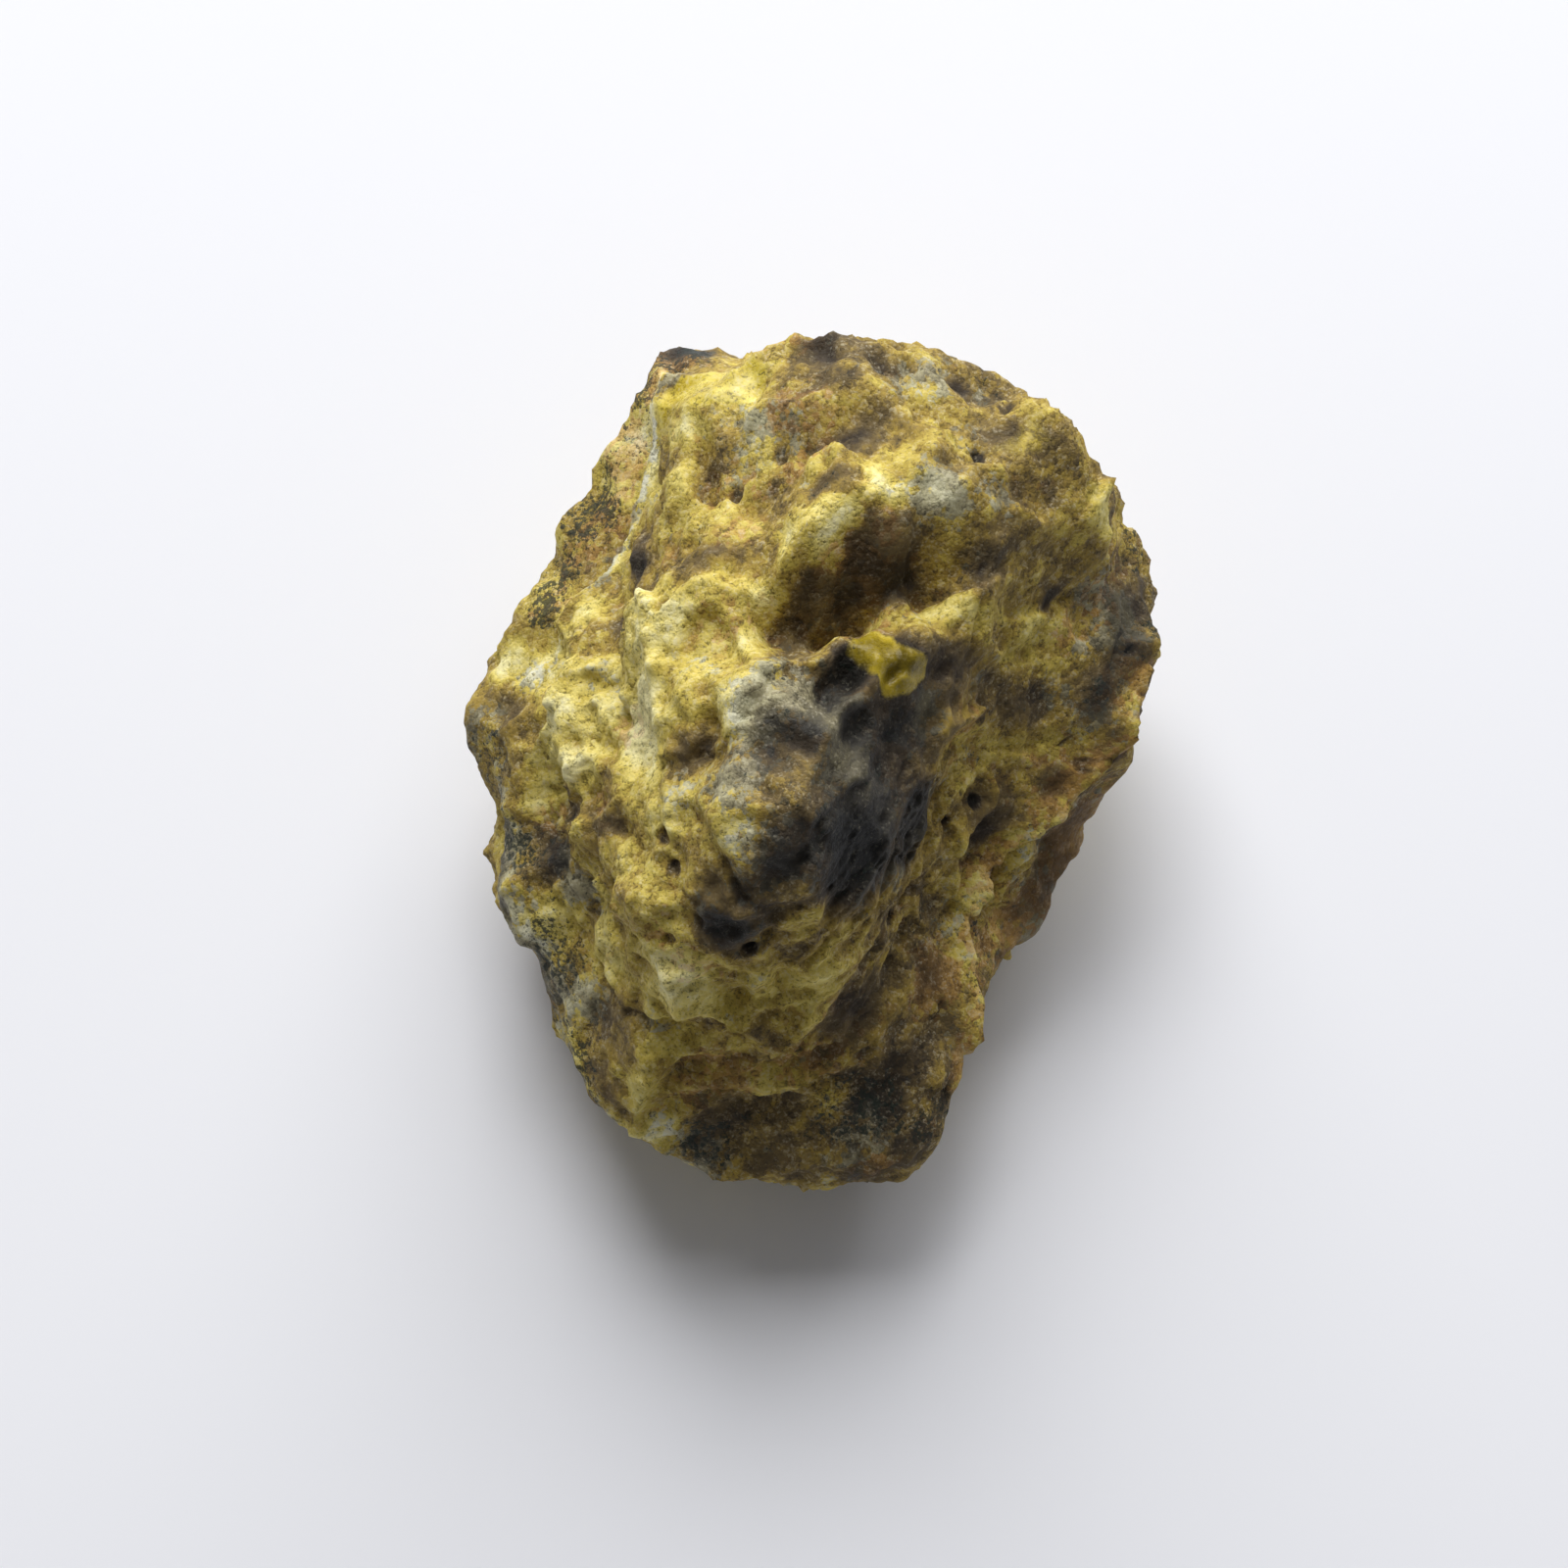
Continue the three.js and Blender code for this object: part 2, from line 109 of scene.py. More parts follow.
# Distance to the nearest grain centre, one grain in each unit cell, and that grain's own number.
def grains(point, seed):
    cell = np.floor(point)
    nearest = np.full(len(point), np.inf)
    number = np.zeros(len(point))
    for step in np.ndindex(3, 3, 3):
        i, j, k = (cell + step - 1).T
        middle = [start + scatter(i, j, k, seed + axis) for axis, start in enumerate((i, j, k))]
        distance = np.linalg.norm(np.stack(middle, axis=1) - point, axis=1)
        closer = distance < nearest
        number = np.where(closer, scatter(i, j, k, seed + 3), number)
        nearest = np.where(closer, distance, nearest)
    return nearest, number


# The stone's form

# Lines along the rims, the calm flanks and the cavity, in millimetres.
westLine = [(-7.9, 21.6, 21), (-10.3, 15.8, 20), (-12.8, 10.4, 19), (-15, 6.8, 17.8), (-18.2, 4.4, 16.5)]
westFootLine = [
    (-8.4, 21.9, 20.7), (-10.9, 16.2, 19.7), (-13.4, 10.7, 18.7), (-15.6, 7.1, 17.5), (-18.5, 4.8, 16.2),
]
westFlank = [(-8, 23.5, 19), (-14.5, 13, 18), (-19, 5.5, 15), (-20, -4, 12), (-18, -11, 10), (-11, -20, 9)]
southWestLine = [(-18.2, -3.3, 15), (-16.4, -9.4, 13.5), (-13.4, -17, 11), (-8, -21, 11)]
southEastLine = [
    (19, 4.6, 16.5), (16, -1, 15.5), (13.1, -4.4, 14.5), (10.4, -8.2, 13.5), (9.1, -11.8, 12.5),
    (8.2, -18, 10.5),
]
southEastFlank = [(18.5, -0.5, 10.5), (15, -5, 9), (12, -9.5, 8), (9.8, -15, 8.5)]
cavityLine = [(-1.4, 3.5, 28), (0.4, 5, 28.4), (2.2, 6.5, 28.6), (5, 7, 28.2)]
crestLine = [(0, 0.9, 32.4), (1.9, 3.1, 29.9), (5.1, 5, 29), (8.4, 5.3, 28)]

form = {
    "centre": (0, -0.5, 13),
    "edgeSharpness": 55,
    "leastWeight": 1e-4,  # a neighbour facet that counts less is left out
    "nearestFacet": 3,
    "farthestFacet": 60,
    "directionsAtOnce": 8000,
    "acrossFrom": (0.31, 0.62, 0.72),  # a facet's slope is felt across and along this
    "slopeReach": 0.05,
    "wanderAmount": 0.035,
    "wanderLength": 0.35,
    "wanderSeeds": (11, 12, 13),
    "chipCount": 160,
    "chipSeed": 5,
    "chipTilt": 0.5,
    "leastChipDepth": 0.05,
    "chipDepth": 1.15,
    "deepChipsRare": 1.5,  # power of a chip's chance number
    "chipReach": 5,
    "chipFadesFrom": 0.8,  # share of the reach
    "chipFade": 2,
    "steepestChip": 0.15,
    "chipMissed": 200,  # how far out a chip lies for a direction that misses it
    "chipCeiling": 8,  # how far above the facets a chip may lie
    "chipSharpness": 6,
    "deepestChip": 1.8,
    "deepestSharpness": 2.5,
    "gridSteps": 128,  # squares along each side of the six grids
    "widestLine": [
        (-7.5, 23.8, 20), (-10.2, 20.8, 19.2), (-13, 16.9, 18.3), (-15.8, 11.6, 17), (-19.1, 6.7, 15.2),
        (-20, 2.4, 14.5), (-19.7, -1.5, 13), (-20.4, -4.5, 11.5), (-19.1, -8.7, 10.5),
        (-16, -13.5, 9.5), (-12.8, -18.1, 9.5), (-7.3, -23.1, 9), (-1.8, -22.8, 8.5), (4.3, -22.7, 8.5),
        (7.6, -20.6, 8.5), (8.6, -16.4, 8), (11.4, -12, 7.5), (16.1, -6.4, 8), (17.8, -0.8, 10),
        (20, 4.4, 14), (20, 10.1, 16.5), (17.3, 13.9, 20), (15.1, 15.9, 26), (11.4, 17.8, 27),
        (5.8, 19.1, 27), (0.3, 21.9, 27.5), (-3.6, 20.9, 25),
    ],
    "westRidge": westLine + southWestLine[:3],
    "southEastRidge": [*southEastLine[:5], (9.3, -15, 11), southEastLine[5], (6.8, -21, 10.5)],
    "crown": [
        (-4.5, 17, 26.5), (-1.5, 17.5, 28.5), (3, 17, 29.5), (8, 16, 29), (13, 14.4, 27.6),
        (-6, 11, 27), (-1, 12, 30.5), (5, 11, 31), (10.5, 11, 28.5), (-6.5, 4.5, 29.5), (-1, 6, 33),
        (5, 5, 31.5), (-6.5, -3, 31.5), (-1.5, -3, 33.4), (4, -2, 30.5), (-6.5, -9.5, 31.2),
        (0, -9, 32), (4, -8, 28.5), (-7, -14.5, 27), (-2, -14, 28.5), (3, -13, 24),
    ],
    "flanks": [
        (-11.8, 6, 23.5), (-10.8, 9.8, 24), (-8.6, 13.2, 25), (-7, 16.2, 25.4),
        (-12.3, -1, 24.5), (-12.3, -8.5, 22.5), (-11.5, -14, 18.5),
        (-8, -18, 19), (-2.5, -17.5, 19), (3.5, -16.5, 15.5), (-8, -20.6, 13), (-1.5, -21.2, 12.8),
        (4.5, -20.5, 12), (5.5, -12, 17), (7, -7, 20.5), (7.5, -2, 26), (9, 3, 27), (12, 7, 25.5),
        (11, 0, 21.5), (15, 3, 20), (16, 8.5, 21.5), (10, -4.5, 17.5), (14, 10, 26),
    ],
    "undercut": [
        (-10, 20, 9), (-15.5, 11, 6.5), (-18, 3.5, 7), (-17.3, -6, 5.5), (-13.5, -14.5, 4.5),
        (-6.5, -19.5, 4), (1.5, -20, 4), (6, -17.8, 3.5), (8, -13, 3.5), (11.5, -7, 3.2),
        (15.5, -1, 4.5), (18, 5, 7.5), (18, 12, 10), (14.5, 16.5, 14), (8, 20.5, 14), (0, 22, 13.5),
        (-6, 22.3, 12), (-7, 17.5, 3), (0, 19, 4.5), (8, 17, 5), (14, 11, 5),
    ],
    "restingEdge": [
        (0, -0.5, -2.8), (9.8, 3, -2.8), (8, 8.5, -2.8), (2, 11, -2.8), (-5.5, 10.5, -2.8),
        (-10, 5, -2.8), (-10.2, -3, -2.8), (-8, -9.5, -2.8), (-3, -13.5, -2.8), (3, -11, -2.8),
        (7, -4, -2.8),
    ],
    # Single marks along a line: from, to, half width, height (a hollow is negative) and steepness.
    "singleMarks": {
        "brownCavity": ((-1.2, 3.6, 31.5), (5.6, 6, 30.5), 2.8, -4.4, 2.4),
        "cavityFloor": ((0.4, 4.4, 32.8), (2.8, 5.2, 32.2), 1.8, -3, 2),
        "cavityLip": ((-2.6, 6.6, 32), (1.8, 9.4, 31), 1.3, 1.5, 1.6),
        "crest": ((-1.2, 0.4, 33), (12, 7.2, 25.5), 0.9, 1, 1.4),
        "yellowCrystal": ((3, 1.2, 30.5), (5.4, 2, 29), 1.4, 0.5, 3),
        "smallHole": ((0.6, -1, 32.5), (1.6, -0.2, 32), 1, -2, 2),
        "eastCrack": ((11.6, 5.4, 25), (15, 8, 22), 0.9, -1.4, 2),
        "westPit": ((-7, -4.8, 30.5), (-6, -2.6, 31), 1.1, -1.5, 2),
        "tipKnob": ((-7.4, 23.4, 19.5), (-7.2, 22.8, 19.8), 1.3, 1.1, 2),
        "tipNotch": ((-5.4, 22.4, 21.5), (-5, 21.2, 23), 0.9, -1, 2),
        "greyCrystal": ((6, 11.6, 30.5), (8.6, 9, 30), 1.5, 0.9, 2),
        "crownCrystal": ((-3.4, -1, 33), (-0.4, -3, 33), 1.8, 0.7, 2),
        "westNotch": ((-19.2, -2.6, 13), (-18, -4.4, 11), 0.9, -1.3, 2),
        "peak": ((-1, -9, 32), (3, -7, 30), 2.4, 0.8, 2),
        # The apron that narrows the cavity to a slit is only here, and not in the solid.
        "cavityApron": ((1.4, 3, 31.9), (5.6, 5.5, 30.6), 1.2, 2.2, 2),
    },
    # Bumps and dents along the widest line: x, y, z, radius, height.
    "rimMarks": [
        (-20.2, 6, 13.5, 1.6, -1.2), (-20.3, 2, 14, 1.6, 0.4), (-18, -9.7, 12, 1.4, -0.5),
        (-16.5, -11.8, 11, 1.8, 1.1), (-15, -16, 7.5, 1.8, -0.8), (-12.5, -18.8, 10, 1.5, 0.6),
        (-10.8, -21.5, 8.5, 1.6, -0.8), (-6, -23.5, 8.5, 1.4, 0.5), (9.2, -17, 11, 1.8, -1.2),
        (12.6, -10.4, 6, 1, -0.7), (13.2, -7.5, 8.3, 2, 1.1), (16.5, -3.4, 9, 2, -1.1),
        (18, 0.2, 12, 1.8, 1.1), (20.5, 8.5, 15.5, 1.6, -0.9), (18.6, 12.4, 16, 1.9, 1.3),
        (17.3, 15.7, 21, 1.5, -1.2), (9.3, 20, 24.8, 2, 1), (4.8, 21.4, 26.5, 1.5, -0.9),
        (-7.3, 24.3, 18.5, 1.3, 0.9), (-5.2, 24, 19, 1, -0.7), (-11.3, 18.8, 18.2, 1.8, 0.6),
        (-16.8, 9.5, 16.3, 1.8, 0.5),
    ],
    # Long marks along several points: half width and height (a hollow is negative).
    "longMarks": {
        "westEdge": (0.5, 0.5, westLine),
        "westFoot": (0.7, -0.7, westFootLine),
        "southWestEdge": (0.9, 0.9, southWestLine),
        "southWestHollow": (1.6, -0.8, [(-16, -2, 18.5), (-14.4, -8.6, 16.5), (-12.2, -15, 14.5)]),
        "southEastEdge": (0.9, 1.8, southEastLine),
        "southEastHollow": (2, -1.2, [(18, -2, 12), (13.5, -6.5, 9.5), (10.5, -12, 7.5), (9, -17, 7.5)]),
        "frontLedge": (0.8, 0.8, [(-6, -18.5, 14.5), (0, -18.5, 14.5), (6, -15.5, 15.5)]),
        "frontHollow": (1.6, -0.7, [(-5, -20.5, 12), (1, -20.5, 12.5), (6, -19, 12)]),
        "crownEdge": (0.8, 0.7, [(6.5, -9, 22), (7, -4, 25), (7.5, 0, 27.5), (9, 4, 27.5), (11, 8, 27)]),
    },
    # The smooth south-east flank and the western rim: half width, share of the relief it lacks, and line.
    "calmFlanks": {
        "southEast": (2.6, 0.8, southEastFlank),
        "west": (3, 0.5, westFlank),
    },
}

centre = np.array(form["centre"], float)


# The landmarks' directions, pulled onto a ball, are joined by their convex hull. Each triangle of the hull
# stands for the flat facet through the same three landmarks. A plane is kept as its normal over its
# distance, so that a direction's dot product with it is one over the distance to the plane.
def makeFacets():
    places = ("widestLine", "westRidge", "southEastRidge", "crown", "flanks", "undercut", "restingEdge")
    offsets = np.array([point for place in places for point in form[place]], float) - centre
    directions = offsets / np.linalg.norm(offsets, axis=1, keepdims=True)
    hull = bmesh.new()
    for direction in directions:
        hull.verts.new(direction)
    hull.verts.index_update()
    bmesh.ops.convex_hull(hull, input=hull.verts)
    corners = np.array([[vertex.index for vertex in face.verts] for face in hull.faces])
    hull.free()

    def planes(points):
        a, b, c = points[corners[:, 0]], points[corners[:, 1]], points[corners[:, 2]]
        normal = np.cross(b - a, c - a)
        return normal / np.sum(normal * a, axis=1, keepdims=True)

    return planes(directions), planes(offsets)


facetsOnBall, facetsInStone = makeFacets()


# Distance out to the facets. The facet that a direction meets counts fully, and its neighbours come in
# close to the shared edge, so the edges are a little rounded.
def facetRadius(direction):
    parts = []
    for part in np.array_split(direction, 1 + len(direction) // form["directionsAtOnce"]):
        hits = part @ facetsOnBall.T
        weight = np.exp(form["edgeSharpness"] * (hits - hits.max(axis=1, keepdims=True)))
        weight[weight < form["leastWeight"]] = 0
        distance = 1 / np.clip(part @ facetsInStone.T, 1 / form["farthestFacet"], 1 / form["nearestFacet"])
        parts.append(np.sum(weight * distance, axis=1) / weight.sum(axis=1))
    return np.concatenate(parts)


def unit(vector):
    return vector / np.linalg.norm(vector, axis=1, keepdims=True)


# Outward normal of the facets, from four points of them close round each direction.
def facetNormal(direction):
    across = unit(np.cross(direction, form["acrossFrom"]))
    along = np.cross(direction, across)

    def beside(axis, side):
        near = unit(direction + axis * side * form["slopeReach"])
        return near * facetRadius(near)[:, None]

    normal = unit(np.cross(beside(across, 1) - beside(across, -1), beside(along, 1) - beside(along, -1)))
    return normal * np.sign(np.sum(normal * direction, axis=1, keepdims=True))


# Chips are flat cuts, tilted and sunk a little. Their centres lie on a spiral round the ball at the
# golden angle.
def makeChips():
    number = np.arange(form["chipCount"])
    height = 1 - 2 * (number + 0.5) / form["chipCount"]
    angle = (number + 0.5) * np.pi * (1 + np.sqrt(5))
    waist = np.sqrt(1 - height * height)
    direction = np.stack([waist * np.cos(angle), waist * np.sin(angle), height], axis=1)
    place = direction * facetRadius(direction)[:, None]
    tilt = np.stack([scatter(number, axis, 0, form["chipSeed"]) for axis in (1, 2, 3)], axis=1) * 2 - 1
    normal = unit(facetNormal(direction) + form["chipTilt"] * tilt)
    luck = scatter(number, 4, 0, form["chipSeed"])
    depth = form["leastChipDepth"] + form["chipDepth"] * luck ** form["deepChipsRare"]
    return place, normal, np.sum(normal * place, axis=1) - depth


chipPlaces, chipNormals, chipOffsets = makeChips()


# The facets' distance, cut back to each chip that is near, and never deeper than deepestChip. Past most of
# its reach, a chip rises out of the stone as the square of the way beyond.
def chippedRadius(direction):
    whole = facetRadius(direction)
    place = direction * whole[:, None]
    radius = whole
    steepest, reach = form["steepestChip"], form["chipReach"]
    for chipPlace, normal, offset in zip(chipPlaces, chipNormals, chipOffsets):
        slope = direction @ normal
        flat = np.where(slope > steepest, offset / np.maximum(slope, steepest), form["chipMissed"])
        beyond = np.maximum(np.linalg.norm(place - chipPlace, axis=1) / reach - form["chipFadesFrom"], 0)
        cut = np.minimum(flat + form["chipFade"] * reach * beyond**2, whole + form["chipCeiling"])
        radius = softLess(radius, cut, form["chipSharpness"])
    return -softLess(-radius, form["deepestChip"] - whole, form["deepestSharpness"])


# Distance from each point to the nearest point of a straight line between two ends.
def distanceToLine(point, start, end):
    start, end = np.array(start, float), np.array(end, float)
    along = np.clip((point - start) @ (end - start) / np.dot(end - start, end - start), 0, 1)
    return np.linalg.norm(point - start - along[:, None] * (end - start), axis=1)


# Height of the single marks, each fading from its line, and of the bumps and dents, which are bells.
def singleMarkHeight(point):
    total = 0
    for start, end, width, height, steep in form["singleMarks"].values():
        total = total + height * np.exp(-((distanceToLine(point, start, end) / width) ** steep))
    for x, y, z, radius, height in form["rimMarks"]:
        distance = np.linalg.norm(point - np.array([x, y, z]), axis=1) / radius
        total = total + height * np.exp(-(distance**2))
    return total


# Distance to a line through several points, measured across a ball round the centre, so that the line
# lies on the surface however deep it is cut there.
def gapToLine(direction, line):
    corners = unit(np.array(line, float) - centre)
    nearest = np.min([distanceToLine(direction, *ends) for ends in zip(corners[:-1], corners[1:])], axis=0)
    return nearest * np.linalg.norm(np.array(line[0]) - centre)


# The sides of a long mark fall off evenly from a sharp crest.
def longMarkHeight(direction):
    total = 0
    for width, height, line in form["longMarks"].values():
        total = total + height * np.exp(-gapToLine(direction, line) / width)
    return total


# Share of the relief that a flank lacks: a bell across the flank's line.
def calmness(direction):
    flanks = form["calmFlanks"].values()
    calm = [share * np.exp(-((gapToLine(direction, line) / width) ** 2)) for width, share, line in flanks]
    return np.max(calm, axis=0)


relief = {
    "blocks": (5.6, 0.15, 26, 21),  # size, tilt, sharpness, seed
    "lumps": (2.7, 0.12, 20, 31),
    "levelRange": 0.5,  # of the crystals, as a share of size times tilt
    "lively": (9, 0.8, 0.5, 0.35, 61),  # size, least, extra, swell at which it is full, seed
    "layerDirection": (-0.35, 0.25, 0.9),
    "ledge": {"step": 2.3, "tread": 0.75, "bendSize": 5, "bend": 0.8, "octaves": 2, "seed": 71},
    "ledgeHeight": 0.75,
    "ledgeElsewhere": 0.35,  # share of the height on the other sides
    "ledgeEast": 0.35,  # how far the ledges' own side is turned from south to east
    "ledgeSide": (0.15, 0.75),  # how much a place faces that side where the ledges begin and are full
    "swell": (6, 0.55, 41),  # size, height, seed
    "crease": (2.2, 0.4, 51),
    "evenness": 0.1,
    # From here on, relief that is finer than the solid's.
    "crystals": (1.2, 0.13, 16, 81),  # size, tilt, sharpness, seed
    "fineCrease": (0.7, 0.1, 91),
    "fineLedge": {"step": 0.75, "tread": 0.7, "bendSize": 2.4, "bend": 1.6, "octaves": 3, "seed": 171},
    "fineLedgeHeight": 0.4,
    "fineLedgePlaces": (5, -0.2, 0.3, 180),  # size of their swell, swell without and with them, seed
    "pit": (1.5, 0.45, 0.97, 95),  # size, depth, share of cells without a pit, seed
    "pitBend": (0.05, 0.5, 97),  # amount, size, seed
    "pitRadius": 0.42,  # this and the next are shares of the pit's size
    "pitSide": 0.16,
    "pitsByRidge": 0.8,  # further share of the cells that have a pit on the south-east ridge
    "pitsFade": 2,  # twice the square of the gap over which they grow fewer
    "sharpRidge": (0.35, 0.4),  # height, half width
    "smoothFaceLacks": 0.75,
    "glassyFace": (0.3, 0.6),  # amounts of glassy mineral up to which a face is rough, and smooth
}


# Crystals with flat faces: each unit cell has one, with its own tilt and level, and they blend narrowly.
def crystalHeight(point, size, tilt, sharpness, seed):
    point = point / size
    cell = np.floor(point)
    total, weights = 0, 0
    for step in np.ndindex(3, 3, 3):
        i, j, k = (cell + step - 1).T
        place = np.stack([i, j, k], axis=1)
        offset = point - place - np.stack([scatter(i, j, k, seed + n) for n in range(3)], axis=1)
        slope = np.stack([scatter(i, j, k, seed + n) for n in (3, 4, 5)], axis=1) * 2 - 1
        weight = np.exp(-sharpness * np.sum(offset * offset, axis=1))
        levels = relief["levelRange"]
        face = np.sum(slope * offset, axis=1) + levels * scatter(i, j, k, seed + 6) - levels / 2
        total = total + weight * face
        weights = weights + weight
    return size * tilt * total / weights


# One step across each of the stone's layers: an S up along the tread, less an even fall back. Swells
# bend the layers.
def layerStep(point, step, tread, bendSize, bend, octaves, seed):
    bent = bend * roughness(point / bendSize, seed, octaves)
    layer = point @ np.array(relief["layerDirection"]) / step + bent
    layer = layer - np.floor(layer)
    return ramp(layer, 0, tread) - layer


# The ledges are strongest on the south and south-east sides.
def ledgeHeight(point, direction):
    south = ramp(relief["ledgeEast"] * direction[:, 0] - direction[:, 1], *relief["ledgeSide"])
    elsewhere = relief["ledgeElsewhere"]
    ledges = relief["ledgeHeight"] * layerStep(point, **relief["ledge"])
    return ledges * (elsewhere + (1 - elsewhere) * south)


# Packed crystals of two sizes, ledges, swells and creases added up, less where the flank is calm.
def coarseRelief(point, direction):
    size, least, extra, full, seed = relief["lively"]
    liveliness = least + extra * ramp(roughness(point / size, seed, 2), -full, full)
    packed = liveliness * (crystalHeight(point, *relief["blocks"]) + crystalHeight(point, *relief["lumps"]))
    size, height, seed = relief["swell"]
    swells = height * roughness(point / size, seed, 3)
    size, height, seed = relief["crease"]
    creases = height * roughness(point / size, seed, 2, creased=True)
    total = packed + ledgeHeight(point, direction) + swells + creases
    return total * (1 - calmness(direction)) - relief["evenness"]


# Small crystals, hair creases, fine ledges in places, the sharp crest of the south-east ridge and round
# pits: a few all over, and many along that ridge. The glassy and the calm faces have little of it.
def fineRelief(point, smoothFaces):
    crystals = crystalHeight(point, *relief["crystals"])
    size, height, seed = relief["fineCrease"]
    creases = height * roughness(point / size, seed, 2, creased=True)

    gap = gapToLine(unit(point - centre), southEastLine)
    height, width = relief["sharpRidge"]
    ridge = height * np.exp(-gap / width)

    bend, bendSize, bendSeed = relief["pitBend"]
    size, depth, plain, seed = relief["pit"]
    bent = point / size + bend * roughness(point / bendSize, bendSeed, 1)[:, None]
    nearest, number = grains(bent, seed)
    chosen = number > plain - relief["pitsByRidge"] * np.exp(-gap * gap / relief["pitsFade"])
    pits = ramp(relief["pitRadius"] - nearest, 0, relief["pitSide"]) * chosen * (1 - smoothFaces)

    size, without, full, seed = relief["fineLedgePlaces"]
    ledges = relief["fineLedgeHeight"] * layerStep(point, **relief["fineLedge"])
    ledges = ledges * ramp(roughness(point / size, seed, 2), without, full)
    skin = (crystals + creases + ledges) * (1 - relief["smoothFaceLacks"] * smoothFaces)
    return skin + ridge - depth * pits, pits


